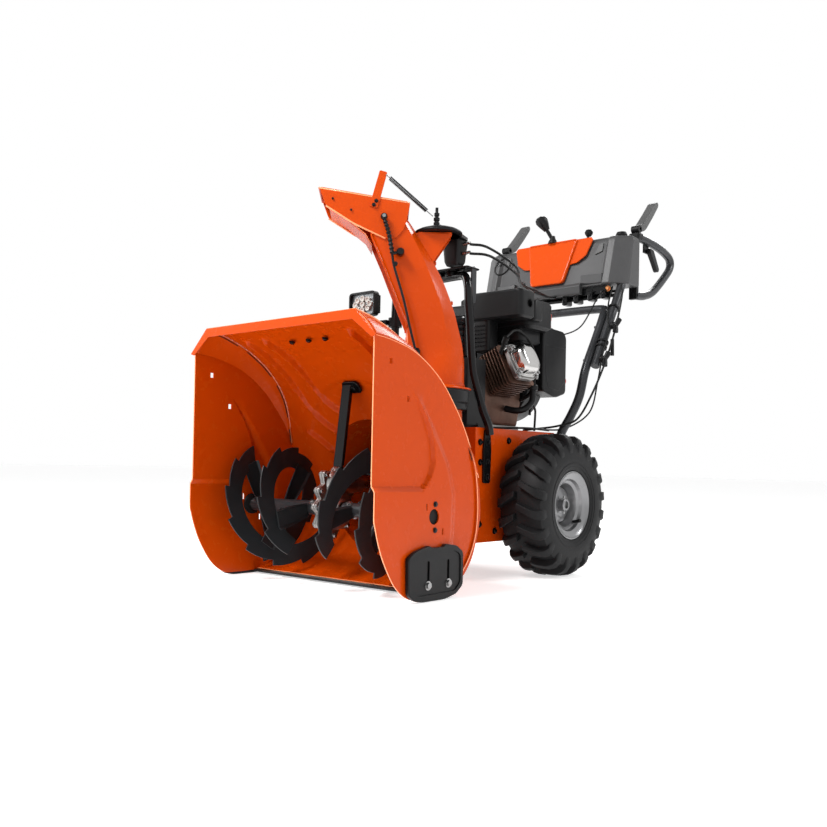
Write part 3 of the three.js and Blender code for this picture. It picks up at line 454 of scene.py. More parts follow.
def rib_height(x, z):
    """How far the pressed ribs and the ring round the drum stand in from the back sheet."""
    height = 0.0
    for line in BACK_RIBS:
        for sign in (-1, 1):
            best = 1e9
            for (x0, z0), (x1, z1) in zip(line, line[1:]):
                a, b = Vector((sign * x0, z0)), Vector((sign * x1, z1))
                p = Vector((x, z))
                t = min(1.0, max(0.0, (p - a).dot(b - a) / (b - a).length_squared))
                best = min(best, (p - a - (b - a) * t).length)
            height = max(height, 11 * (1 - ease(best, 3, 10)))
    reach = math.hypot(x, (z - IMPELLER.z) * 0.95)
    return max(height, 4 * (ease(reach, 232, 246) - ease(reach, 250, 300)) * ease(z, 330, 380))


BACK_RIBS = [
    [(204, 577), (203, 555), (200, 520), (196, 480), (186, 445), (165, 410), (140, 388), (112, 372)],
    [(141, 577), (137, 550), (133, 515), (127, 480), (114, 447), (92, 428), (70, 414)],
    [(214, 372), (180, 350), (148, 326)],
]


def back_sheet():
    steps, columns = 240, 160
    line = spline([(y, z, 0) for y, z in BACK], steps)
    rows = []
    for i, p in enumerate(line):
        ahead = (line[min(i + 1, steps)] - line[max(i - 1, 0)]).normalized()
        inward = Vector((ahead.y, -ahead.x))
        half = back_half(p.y)
        row = []
        for k in range(columns + 1):
            x = half * (2 * k / columns - 1)
            rise = rib_height(x, p.y) if 300 < p.y < 590 else 0.0
            row.append(at(x, p.x + inward.x * rise, p.y + inward.y * rise))
        rows.append(row)
    sheet = make("housing_back_sheet", loft(rows), ORANGE, replaces=["housing_back"], sheet=PLATE, rim=PAINTED_EDGE_HIGHLIGHT,
                 outward=1.0)
    heads = [bolt(at(x, 100, 573), (0, -0.3, -1), 6) for x in (-56, 0, 54)]
    make("back_sheet_bolts", merge(*heads), BLACK)
    mouth = rod(at(0, 200, IMPELLER.z), at(0, 420, IMPELLER.z), 160, 72)
    carve(sheet, mouth)


def side_relief(y, z):
    """The pressed panel: the plate stands proud behind and below a curved ridge, then falls back."""
    ridge = along([(238, 150), (250, 166), (267, 180), (298, 192), (342, 186), (389, 164), (431, 134),
                   (480, 80)], z)
    band = along([(0, 236), (60, 252), (137, 264), (227, 267), (290, 245), (377, 184), (420, 150)], z)
    behind = ease(y - ridge, -2.5, 3.5) * (1 - ease(z, 400, 452))
    below = 1 - ease(z, 233, 247)
    return 8.8 * max(behind, below) * (1 - ease(y - band, -14, 14))


def side_plate(sign):
    outline = spline([(y, z, 0) for y, z in SIDE_REAR], 120)
    top, tall, steps = 551, 544, 150
    drops = {tall * (1 - math.cos(math.pi * k / steps)) / 2 for k in range(steps + 1)}
    levels = sorted({round(top - drop, 3) for drop in drops}, reverse=True)
    rows = []
    split = max(range(len(outline)), key=lambda i: -outline[i].y)
    rear, fore = outline[: split + 1], outline[split:]
    rear_line = sorted((p.y, p.x) for p in rear)
    fore_line = sorted([(p.y, p.x) for p in fore] + [(560, 0)])
    lowest = outline[split].y
    for z in levels:
        z = max(z, lowest + 0.01)
        y0, y1 = along(fore_line, z), along(rear_line, z)
        rows.append([
            at(sign * (HALF - 9.3 + side_relief(y, z)), y, z)
            for y in (y0 + (y1 - y0) * k / steps for k in range(steps + 1))
        ])
    name = hand(sign)
    plate = make(f"side_plate_{name}", loft(rows), ORANGE, replaces=[f"housing_side_{name}"], sheet=PLATE,
                 rim=PAINTED_EDGE_HIGHLIGHT, outward=-1.0)

    def opening(y, z, wide, tall):
        outline = [(y - wide, z - tall), (y + wide, z - tall), (y + wide, z + tall), (y - wide, z + tall)]
        return prism(outline, lambda y, z, w: at(sign * (HALF - 20) + w * sign, y, z), 40)

    bearing = peg(17, -25, 25, (1, 0, 0), at(sign * HALF, 193, 179), 28)
    square = [opening(y, z, 5, 6) for y, z in ((52, 502), (110, 428))]
    slots = [opening(y, z, 2.5, 7) for y, z in ((168, 200), (224, 146))]
    carve(plate, bearing, *square, *slots)
    bolts = merge(*[bolt(at(sign * (HALF - 0.5), 196, z), (sign, 0, 0), 5) for z in (206, 150)])
    make(f"bearing_bolts_{name}", bolts, CHARCOAL)
    # The seat behind the bearing hole is near black: painted shade that fills the hole.
    seat = turned([(0, 0), (26, 0), (26, 5), (12, 7), (12, 12), (0, 12)], (-sign, 0, 0),
                  at(sign * (HALF - 6), 193, 181), 32)
    make(f"auger_bearing_{name}", seat, PAINTED_SHADE_BLACK)


def corner_sheet(sign):
    """The slanted sheet between a side plate and the back sheet, with its seam."""
    upper = [p for p in spline([(y, z, 0) for y, z in BACK], 60) if p.y > 262]
    lower = spline([(y, z, 0) for y, z in SIDE_REAR[:7]], len(upper) - 1)
    rows = []
    for p, q in zip(upper, lower):
        a = at(sign * back_half(p.y), p.x, p.y)
        b = at(sign * (HALF - 8.3), q.x, q.y)
        bulge = (Vector((sign, 0, 0)) * 0.35 + Vector((0, 0.5, 0.8))).normalized()
        rows.append([a.lerp(b, t) + bulge * 5 * math.sin(math.pi * t) * (a - b).length / 85 for t in
                     (k / 10 for k in range(11))])
    name = hand(sign)
    make(f"corner_sheet_{name}", loft(rows), ORANGE, sheet=2.5, rim=PAINTED_EDGE_HIGHLIGHT, outward=-1.0)
    # Short near-black strips along the seam are painted shade for the crevice where the sheets lap.
    seam = [at(sign * (back_half(p.y) + 1), p.x - 3.6, p.y - 3.6) for p in upper]
    pieces = [sweep(seam[a:b], 1.1, 6) for a, b in ((2, 9), (10, 17), (18, 25), (26, 32)) if b < len(seam)]
    make(f"seam_gap_{name}", merge(*pieces), PAINTED_SHADE_BLACK)


def front_lip():
    outer = [(-HALF, 549), (-CORNER, 607), (CORNER, 607), (HALF, 549)]
    inner = [(HALF - 13, 545), (CORNER - 8, 586), (8 - CORNER, 586), (13 - HALF, 545)]
    lip = prism(outer + inner, lambda x, z, w: at(x, w - LIP_DEPTH, z), PLATE)
    make("front_lip", lip, ORANGE, bevel=1.2)


def skid_shoe(sign):
    name = hand(sign)
    shoe = rounded([(96, 96), (99, 18), (120, 4), (146, 0), (222, 0), (262, 8), (287, 26), (286, 100),
                    (262, 115), (223, 120), (214, 114), (176, 114), (166, 119), (120, 109)], 8)
    base = HALF + 0.4
    plate = prism(shoe, lambda y, z, w: at(sign * (base + w), y, z), 11)
    obj = make(f"skid_plate_{name}", plate, PLASTIC, replaces=[f"skid_shoe_{name}"], bevel=2.2)
    inner = rounded([(108, 92), (110, 26), (128, 14), (258, 16), (277, 34), (276, 94), (258, 104),
                     (126, 104)], 8)
    border = prism(inner, lambda y, z, w: at(sign * (base + 8.5 + w), y, z), 6)
    slots = [prism(rounded([(y - 4, 28), (y + 4, 28), (y + 4, 86), (y - 4, 86)], 4),
                   lambda y, z, w: at(sign * (base + 4 + w), y, z), 14) for y in (165, 234)]
    carve(obj, border, *slots)
    parts = []
    for y in (165, 236):
        parts.append(bolt(at(sign * (base + 7.5), y, 34), (sign, 0, 0), 8))
        parts.append(peg(3.4, 0, 9, (sign, 0, 0), at(sign * (base + 4), y, 34), 14))
    make(f"skid_bolts_{name}", merge(*[moved(p, lambda v: Vector((min(HALF + 13.8, v.x) if sign > 0 else
         max(-HALF - 13.8, v.x), v.y, v.z))) for p in parts]), ZINC)


back_sheet()
front_lip()
finish_node("impeller_drum", ORANGE, 0.8)
for side in (1, -1):
    side_plate(side)
    corner_sheet(side)
    skid_shoe(side)
finish_node("scraper_bar", CHARCOAL)


# ------------------------------------------------------------------ auger, gear case and impeller
def saw_ribbon(sign, start, sweep_angle):
    """One flight with twelve teeth a turn. It is a flat bar bent into a helix."""
    x0, x1 = 62, 270
    inner, outer = 97, 151.5
    teeth = round(abs(sweep_angle) / (2 * math.pi) * FLIGHT_TEETH)
    rings = []
    for k in range(teeth):
        for j in range(6):
            t = (k + j / 5 * 0.96) / teeth
            angle, x = start + sweep_angle * t, x0 + (x1 - x0) * t
            radius = outer - 13 * (1 - j / 5)
            rings.append([
                Vector((sign * (x + shift), AUGER.y + r * math.cos(angle), AUGER.z + r * math.sin(angle)))
                for r, shift in ((inner, 0), (radius, 0), (radius, 4), (inner, 4))
            ])
    return loft(rings, around=True, capped=True)


def auger_half(sign):
    name = hand(sign)
    pieces = []
    sweep_angle = -math.pi * 1.75
    for start in (0.9, 0.9 + math.pi):
        pieces.append(saw_ribbon(sign, start, sweep_angle))
        for t in (0.12, 0.55, 0.95):
            angle = start + sweep_angle * t
            x = 50 + 220 * t
            out = Vector((0, math.cos(angle), math.sin(angle)))
            side = Vector((0, -math.sin(angle), math.cos(angle)))
            base = Vector((sign * x, AUGER.y, AUGER.z))
            rows = []
            for reach, half in ((14, 15), (40, 20), (80, 24), (112, 24)):
                rows.append([
                    base + out * reach + side * s * half + Vector((d * sign, 0, 0))
                    for s, d in ((-1, -9), (-0.82, -3), (0.82, -3), (1, -9), (1, -5), (0.78, 1), (-0.78, 1),
                                 (-1, -5))
                ])
            pieces.append(bar_of(rows))
    make(f"auger_flights_{name}", merge(*pieces), CHARCOAL, "auger", [f"auger_{name}"], bevel=0.8)
    pipe = hoop(10, 17, 40, 283, (sign, 0, 0), (0, AUGER.y, AUGER.z), 32)
    make(f"auger_pipe_{name}", pipe, TUBE, "auger")
    pins = [bolt(Vector((sign * 62, AUGER.y, AUGER.z)) + d * 17, d, 7) for d in
            (Vector((0, -0.6, 0.8)), Vector((0, 0.6, -0.8)))]
    make(f"shear_bolt_{name}", merge(*pins), ZINC, "auger")


def gear_case():
    """Two cast halves with a wavy bolted flange between them."""
    bolts = [(-52, -34), (-58, 6), (-50, 44), (-34, 82), (6, 92), (40, 82), (56, 44), (56, 2), (40, -40),
             (-4, -62)]
    rim = []
    for i, (y, z) in enumerate(bolts):
        centre = Vector((y, z))
        after = Vector(bolts[(i + 1) % len(bolts)])
        outward = Vector((centre.x, centre.y - 14)).normalized()
        first = math.atan2(outward.y, outward.x)
        rim += [tuple(centre + 10 * Vector((math.cos(first + a), math.sin(first + a))))
                for a in (1.2, 0.6, 0, -0.6, -1.2)]
        rim.append(tuple((centre + after) / 2 - outward * 4))
    flange = merge(*[
        prism(rim, lambda y, z, w, s=s: Vector((s * (0.4 + w), AUGER.y + y, AUGER.z + z)), 7) for s in (-1, 1)
    ])
    make("gearcase_flange", flange, CAST, replaces=["gearcase_left", "gearcase_right"], bevel=1.6)
    lobes = []
    for s in (-1, 1):
        lobes.append(turned([(49, 2), (49, 12), (46, 19), (38, 24), (26, 27), (20, 34), (15, 34), (15, 2),
                             (49, 2)],
                            (s, 0, 0), AUGER, 40))
        lobes.append(turned([(0, 2), (33, 2), (33, 8), (28, 16), (18, 22), (0, 22)], (s, 0, 0),
                            (0, AUGER.y, IMPELLER.z), 32))
    nose = turned([(0, 18), (24, 18), (24, 60), (20, 66), (20, 88), (13, 88), (13, 70), (0, 70)], (0, 1, 0),
                  (0, AUGER.y, IMPELLER.z), 32)
    make("gearcase_shell", merge(*lobes, nose), CAST, bevel=1.5)
    heads = merge(*[bolt(Vector((s * 7.4, AUGER.y + y, AUGER.z + z)), (s, 0, 0), 6.5) for y, z in bolts
                    for s in (-1, 1)])
    make("gearcase_bolts", heads, ZINC)


def impeller_blades():
    back = CHUTE.y - FRONT + 66
    pieces = [peg(24, 0, 106, (0, 1, 0), at(0, back - 106, IMPELLER.z), 32),
              peg(60, 0, 5, (0, 1, 0), at(0, back - 5, IMPELLER.z), 40)]
    for k in range(BLADES):
        turn = Matrix.Rotation(k * 2 * math.pi / BLADES + 0.3, 3, "Y")
        blade = prism([(14, back - 106), (70, back - 128), (146, back - 132), (146, back), (14, back)],
                      lambda r, y, w: Vector((r, FRONT + y, w - 3)), 6)
        tip = prism([(141, back - 128), (147, back - 128), (147, back), (141, back)],
                    lambda r, y, w: Vector((r, FRONT + y, w - 3)), 28)
        for piece in (blade, tip):
            pieces.append(moved(piece, lambda v: turn @ v + Vector((0, 0, IMPELLER.z))))
    make("impeller_blades", merge(*pieces), CHARCOAL, "impeller_set", ["impeller"], bevel=1)


def brace():
    wall = Vector((0, -0.735, -0.68))
    strap = prism([(205, 279), (231, 484), (238, 488), (247, 474), (240, 462), (215, 284.5)],
                  lambda y, z, w: at(w - 17, y, z), 28)
    make("brace_strap", strap, BLACK, replaces=["gearcase_brace"], bevel=1.5)
    outline = rounded([(-17, 0), (26, 0), (34, -10), (34, -34), (-17, -34)], 9)
    tab = prism(outline, lambda x, s, w: at(x, 231 - s * 0.68, 490 + s * 0.735) + wall * (w + 1.5), 6)
    make("brace_tab", tab, BLACK, bevel=1.2)
    make("brace_bolt", bolt(at(18, 243, 477) + wall * 7.5, wall, 8), BLACK)


gear_case()
for side in (1, -1):
    auger_half(side)
impeller_blades()
brace()
finish_node("auger_shaft", ZINC, 0.5)
finish_node("impeller_shaft", ZINC, 0.5)
finish_node("worm_wheel", COPPER, 0.5)
for node in ("impeller_pulley", "crank_pulley"):
    finish_node(node, ZINC, 0.6)
finish_node("drive_belt", RUBBER, 0.6)

# ------------------------------------------------------------------ chute and deflector
STATIONS = [
    (484, -77, -40, 70), (544, -76, -34, 71), (592, -69, -25, 68), (640, -57, -15, 73),
    (680, -46, -8, 90), (745, -21, 16, 117), (790, 2, 35, 135), (850, 37, 65, 162), (884, 59, 85, 170),
    (906, 74, 97, 142),
]


def chute_rows():
    line = spline([(z, b, c) for z, b, c, _ in STATIONS], 60)
    lips = [(z, lip) for z, _, _, lip in STATIONS]
    rows = []
    for p in line:
        z, back, corner = p
        lip = along(lips, z)
        right = [(lip, 58), ((lip + corner) / 2 + 8, 58), (corner + 6, 58), (corner - 7, 56),
                 ((corner + back) / 2, 46.5), (back + 9, 37), (back + 0.5, 29), (back, 14)]
        path = right + [(back, 0)] + [(s, -l) for s, l in reversed(right)]
        blend = ease(z, 500, 600)
        row = []
        for k, (s, l) in enumerate(path):
            angle = math.radians(39 + (360 - 78) * k / (len(path) - 1))
            round_s, round_l = 78 * math.cos(angle), 78 * math.sin(angle)
            row.append(on_chute(s * blend + round_s * (1 - blend), l * blend + round_l * (1 - blend), z))
        rows.append(row)
    return rows


def chute():
    rows = chute_rows()
    make("chute_channel", loft(rows), ORANGE, "chute_body", ["chute"], sheet=PLATE, rim=PAINTED_EDGE_HIGHLIGHT, crease=25,
         outward=-1.0)
    shield = []
    for k in range(13):
        z = 484 + 146 * k / 12
        blend = ease(z, 500, 600)
        half = math.radians(39)
        row = []
        for j in range(13):
            a = half - 2 * half * j / 12
            flat_s = 71 + 7 * (1 - (a / half) ** 2) * (1 - ease(z, 590, 630))
            row.append(on_chute(78 * math.cos(a) * (1 - blend) + flat_s * blend,
                                78 * math.sin(a) * (1 - blend) + 58 * (a / half) * blend, z))
        shield.append(row)
    make("chute_foot_shield", loft(shield), ORANGE, "chute_body", sheet=PLATE, rim=PAINTED_EDGE_HIGHLIGHT,
         outward=-1.0)
    for number, end in enumerate((0, -1)):
        edge = [row[end] for row in rows if row[end].z > 628]
        make(f"chute_lip_{number}", sweep(edge, 2.6, 10), ORANGE, "chute_body")
    flange = turned([(76, 0), (95, 0), (96, 2), (95, 4), (84, 5), (79.5, 9), (79.5, 14), (76, 14), (76, 0)],
                    (0, 0, 1), (CHUTE.x, CHUTE.y, low("chute").z), 64)
    make("chute_flange", flange, ORANGE, "chute_body", bevel=0.6)
    for number, l in enumerate((-30, 28)):
        gusset = prism([(9, 800), (54, 873), (-36, 877), (-38, 872)], lambda s, z, w: on_chute(s, l + w, z),
                       3)
        make(f"chute_gusset_{number}", gusset, ORANGE, "chute_body", bevel=0.8)
    top = prism(rounded([(-38, -31), (50, -31), (50, 31), (-38, 31)], 8), lambda s, l,
                w: on_chute(s, l, 872 + w), 4)
    make("chute_bracket_top", top, ORANGE, "chute_body", bevel=0.8)
    heads = [bolt(on_chute(back - 1, l, z), -THROW, 5) for z, back in ((700, -38), (800, 6))
             for l in (-18, 18)]
    make("chute_rivets", merge(*heads), ORANGE, "chute_body")


def deflector():
    side = rounded([(297, 102), (69, 68), (76, 28), (84, 0), (104, -24), (126, -26), (168, -7), (211, 13),
                    (279, 55)], 9)
    for number, l in enumerate((59.2, -61.8)):
        wall = prism(side, lambda s, up, w: on_deflector(s, l + w, up), 2.6)
        make(f"deflector_side_{number}", wall, ORANGE, "deflector_body", ["deflector"] if number == 0 else (),
             bevel=0.8)
        # The fold is coloured pale orange: a painted highlight along the side wall's lower edge.
        fold = sweep([on_deflector(s, l + 1.3, up) for s,
                      up in ((279, 55), (211, 13), (168, -7), (130, -24))], 2.2, 8)
        make(f"deflector_fold_{number}", fold, PAINTED_EDGE_HIGHLIGHT, "deflector_body")
    roof = loft([[on_deflector(s, l, up + 1.2 * (1 - (l / 62) ** 2)) for l in range(-62, 63, 4)]
                 for s, up in ((297, 100), (220, 89), (140, 77), (70, 67))])
    make("deflector_roof", roof, ORANGE, "deflector_body", sheet=PLATE, rim=PAINTED_EDGE_HIGHLIGHT, outward=-1.0)
    nose = sweep([on_deflector(296, l, 98.5) for l in range(-60, 61, 12)], 2.8, 10)
    make("deflector_nose", nose, ORANGE, "deflector_body")
    tab = prism(rounded([(147, 145), (128, 140), (146, 68), (151, 50), (171, 55)], 4),
                lambda s, up, w: on_deflector(s, 61.9 + w, up), 3)
    make("deflector_tab_plate", tab, ORANGE, "deflector_body", bevel=0.6)
    throat = loft([[on_deflector(s, l, up) for l in range(-54, 55, 12)] for s, up in
                   ((270, 50), (225, 24), (180, -12), (164, -38))])
    make("deflector_throat", throat, ORANGE, "deflector_body", sheet=2, rim=PAINTED_EDGE_HIGHLIGHT)
    pins = [bolt(on_deflector(s, 64.8, up), ACROSS, 4) for s, up in ((154, 68), (160, 58))]
    pins += [bolt(on_deflector(s, 61.8, up), ACROSS, 3.4, washer=False) for s, up in ((262, 72), (216, 45))]
    make("deflector_pins", merge(*pins), BLACK, "deflector_body")


def deflector_rod():
    """The return spring from the tab to the stem on the head, and the cable with its ball, boot and clips."""
    start, end = on_deflector(126, 68, 128), on_chute(15, 8, 926)
    ahead = (end - start).normalized()
    side = ahead.orthogonal().normalized()
    up = ahead.cross(side)
    coil = []
    length = (end - start).length
    for k in range(SPRING_TURNS * 12 + 1):
        a = 2 * math.pi * k / 12
        reach = 6 + (length - 22) * k / (SPRING_TURNS * 12)
        coil.append(start + ahead * reach + 4.6 * (math.cos(a) * side + math.sin(a) * up))
    stretch = ("deflector_body", end, start)
    make("spring_coil", sweep(coil, 1.4, 6), TUBE, "chute_body", ["deflector_spring"],
         bend=stretch)
    near = [start - ahead * 4 + up * 5, start - ahead * 7, start - up * 4, start + ahead * 8]
    far = [end + ahead * 5 + up * 4, end + ahead * 6 - up * 3, end - ahead * 4, end - ahead * 18]
    make("spring_hook_tab", sweep(spline(near, 14), 1.3, 8), ZINC, "deflector_body")
    make("spring_hook_stem", sweep(spline(far, 14), 1.3, 8), ZINC, "chute_body")
    places = ((134, 28), (122, -13), (113, -62), (106, -98), (82, -176), (62, -257), (46, -316))
    route = spline([on_deflector(s, 74, up) for s, up in places], 60)
    flex = ("deflector_body", on_deflector(108, 74, -85), on_deflector(132, 74, 20))
    make("deflector_cable_line", sweep(route, 3.2, 10), RUBBER, "chute_body", ["deflector_cable"], bend=flex)
    boot = spline([on_deflector(134, 74, 24), on_deflector(121, 74, -17), on_deflector(112, 74, -64)], 30)
    ribs = sweep(boot, lambda t: 5.2 + 1.3 * math.sin(t * 60), 14)
    make("cable_boot", ribs, RUBBER, "chute_body", bend=flex)
    ball = turned([(0, -8), (7, -6), (9, 0), (7, 6), (0, 8)], ACROSS, on_deflector(134, 72, 28), 20)
    stud = peg(4.5, -12, 10, ACROSS, on_deflector(134, 72, 28), 16)
    knob = turned([(0, -13), (8, -13), (10, -9), (10, 9), (8, 13), (0, 13)], ACROSS,
                  on_deflector(92, 72, -60), 12)
    arm = rod(on_deflector(94, 72, -60), on_deflector(112, 74, -64), 4)
    clip = turned([(0, -8), (7, -8), (9, -3), (9, 6), (5, 12), (0, 12)], (0, 0, 1),
                  on_deflector(47, 74, -308), 14)
    eye = turned([(0, -6), (5, -6), (6, 6), (0, 6)], ACROSS, on_deflector(104, 72, -90), 14)
    make("cable_fittings", merge(knob, arm, clip, eye), BLACK, "chute_body")
    make("cable_ball", ball, BLACK, "deflector_body")
    make("cable_ball_stud", stud, ZINC, "deflector_body")


chute()
deflector()
deflector_rod()


def chute_ring():
    base, top = low("chute_ring").z, high("chute_ring").z
    ring = turned([(74.5, 0), (84, 0), (86, 5), (86, 14), (90, 20), (90, top - base - 4),
                   (92, top - base - 2),
                   (92, top - base), (74.5, top - base), (74.5, 0)], (0, 0, 1), (CHUTE.x, CHUTE.y, base), 64)
    make("chute_bearing_ring", ring, PLASTIC, replaces=["chute_ring"], bevel=0.8)


# ------------------------------------------------------------------ head, support tubes and light
def head():
    base = low("head_cap").z
    dome = turned([(0, 0), (60, 0), (62, 3), (60, 7), (50, 12), (34, 17), (16, 20), (11, 21), (10, 25),
                   (0, 25)],
                  (0, 0, 1), (CHUTE.x, CHUTE.y + 8, base), 48)
    arm = prism(rounded([(CHUTE.x - 48, CHUTE.y + 10), (CHUTE.x + 50, CHUTE.y + 10),
                         (high("head_motor").x + 3, high("head_motor").y + 2),
                         (low("head_motor").x - 3, high("head_motor").y + 2)], 14),
                lambda x, y, w: Vector((x, y, base + w)), 10)
    make("head_dome", merge(dome, arm), PLASTIC, replaces=["head_cap"], bevel=1.4)
    stem = turned([(0, 20), (8, 20), (8, 30), (6, 31), (6, 34), (8, 35), (8, 42), (5, 43), (5, 46), (7, 47),
                   (7, 54), (4, 56), (4, 68), (0, 68)], (0, 0, 1), (CHUTE.x, CHUTE.y, base), 20)
    make("head_stem", stem, BLACK)
    lo, hi = low("head_motor"), high("head_motor")
    rows = []
    for z, grow in ((lo.z + 4, -5), (lo.z + 14, -1), (lo.z + 40, 1), (hi.z, 4)):
        outline = rounded([(lo.x - grow, lo.y - grow), (hi.x + grow, lo.y - grow),
                           (hi.x + grow, hi.y + grow), (lo.x - grow, hi.y + grow)], 12)
        rows.append([Vector((x, y, z)) for x, y in outline])
    make("head_gearbox", bar_of(rows), PLASTIC, replaces=["head_motor"], bevel=1.2)
    for number, z in enumerate((hi.z - 10, hi.z - 34)):
        out = Vector((hi.x + 2, middle("head_motor").y, z))
        ferrule = merge(rod(out, out + Vector((10, 2, 1)), 5),
                        rod(out + Vector((9, 2, 1)), out + Vector((20, 4, 2)), 3.6))
        make(f"head_ferrule_{number}", ferrule, ZINC)


def support():
    def side(sign):
        return [at(sign * x, y, z) for x, y, z in (
            (166.8, 595, 372), (166, 588, 398), (156, 576, 436), (146, 566, 484), (134, 558, 545),
            (128, 552, 660), (125, 548, 715), (121, 549, 755), (106, 557, 784), (74, 572, 792))]

    path = side(1) + [at(0, 584, 794)] + list(reversed(side(-1)))
    arch = sweep(spline(path, 150), ARCH_RADIUS, 20)
    make("support_arch", arch, BLACK, replaces=["chute_support"])
    plate = prism(rounded([(-2, 536), (128, 536), (128, 594), (20, 594), (-2, 570)], 9),
                  lambda x, y, w: at(x, y, 804 + w), 4)
    make("head_plate", plate, BLACK, bevel=1)
    saddle = peg(17, 794, 804, (0, 0, 1), at(46, 576, 0), 24)
    make("head_saddle", saddle, BLACK, bevel=1)
    bar = prism(rounded([(560, 716), (580, 716), (580, 810), (560, 810)], 7), lambda y, z,
                w: at(121 + w, y, z), 5)
    make("upright_bar", bar, TUBE, bevel=1)
    for sign in (1, -1):
        foot = prism(rounded([(580, 246), (608, 246), (612, 330), (606, 384), (584, 384), (578, 330)], 6),
                     lambda y, z, w: at(sign * (155.4 + w), y, z), 6)
        heads = merge(*[bolt(at(sign * 161.5, 596, z), (sign, 0, 0), 7) for z in (262, 300, 350)])
        make(f"support_foot_{hand(sign)}", merge(foot, heads), BLACK, bevel=0.8)
    nuts = merge(*[bolt(at(x, y, 808), (0, 0, 1), 6) for x, y in ((10, 548), (114, 582), (46, 576))])
    make("head_plate_bolts", nuts, ZINC)


def work_light():
    lo, hi = low("work_light"), high("work_light")
    cx, cz = middle("work_light").x, middle("work_light").z
    front = lo.y

    def frame_of(grow, y0, depth, radius):
        outline = rounded([(lo.x + grow, lo.z + grow), (hi.x - grow, lo.z + grow),
                           (hi.x - grow, hi.z - grow), (lo.x + grow, hi.z - grow)], radius, 5)
        return prism(outline, lambda x, z, w: Vector((x, y0 + w, z)), depth)

    shell = make("light_shell", frame_of(0, front, 20, 12), PLASTIC, "light", ["work_light"], bevel=1.2)
    carve(shell, frame_of(5, front - 5, 15, 8))
    make("light_reflector", frame_of(5.5, front + 9, 2, 8), SILVER, "light")
    lamps = []
    spots = [(0, 0)] + [(math.cos(a) * 27, math.sin(a) * 16) for a in (2 * math.pi * k / 8 for k in range(8))]
    for x, z in spots:
        lamps.append(turned([(0, 4), (3, 4), (6.5, 0), (8, 0), (8, 7), (0, 7)], (0, 1, 0),
                            (cx + x, front + 2.5, cz + z), 20))
    make("light_leds", merge(*lamps), LENS, "light")
    fins = [prism([(front + 20, lo.z + 6), (hi.y - 2, lo.z + 10), (hi.y - 2, hi.z - 10),
                   (front + 20, hi.z - 6)],
                  lambda y, z, w, x=x: Vector((cx + x + w, y, z)), 2.4)
            for x in (-42, -34, -26, -18, 16, 24, 32, 40)]
    make("light_fins", merge(*fins), PLASTIC, "light", bevel=0.4)
    finish_node("light_bracket", PLASTIC, 1.0)


chute_ring()
head()
support()
work_light()


# ------------------------------------------------------------------ wheels
def tyre(sign):
    name = hand(sign)
    centre = Vector((sign * middle("tyre_left").x, AXLE.y, AXLE.z))
    half = (high("tyre_left").x - low("tyre_left").x) / 2
    outer = high("tyre_left").z - AXLE.z
    body = [(91, -57), (94, -61), (106, -65), (128, -half + 1), (150, -half + 4), (162, -60), (171, -42),
            (174, -18),
            (175, 0), (174, 18), (171, 42), (162, 60), (150, half - 4), (128, half - 1), (106, 65),
            (94, 61), (91, 57),
            (100, 50), (160, 50), (168, 0), (160, -50), (100, -50), (91, -57)]
    make(f"tyre_body_{name}", turned(body, (sign, 0, 0), centre, 96), TYRE, f"wheel_{name[0]}",
         [f"tyre_{name}"])
    rings = [turned([(r, w), (r + 1.6, w + 0.6), (r + 1.6, w + 1.6), (r - 1, w + 1.6), (r, w)],
                    (sign, 0, 0), centre, 96)
             for r, w in ((112, 64.6), (104, 63))]
    make(f"tyre_rings_{name}", merge(*rings), TYRE, f"wheel_{name[0]}")
    lugs = []
    for k in range(LUGS):
        for way in (1, -1):
            turn = 2 * math.pi * (k + (0.5 if way < 0 else 0)) / LUGS
            rows = []
            for w, shift, top, wide in ((4, 0.0, outer, 0.055), (24, 0.05, outer - 0.4, 0.06),
                                        (44, 0.1, outer - 3.5, 0.07),
                                        (58, 0.13, outer - 12, 0.085), (66.2, 0.14, outer - 26, 0.09),
                                        (66.8, 0.14, outer - 42, 0.07)):
                root = top - (19 if w < 50 else 16)
                row = []
                for r, da in ((root, -wide), (top, -wide * 0.72), (top, wide * 0.72), (root, wide)):
                    a = turn + shift + da
                    inset = 0 if r == top else -3 if w > 50 else 0
                    row.append(centre + Vector((sign * way * (w + inset), r * math.cos(a), r * math.sin(a))))
                rows.append(row)
            lugs.append(bar_of(rows))
    make(f"tyre_lugs_{name}", merge(*lugs), TYRE, f"wheel_{name[0]}", bevel=1.4)


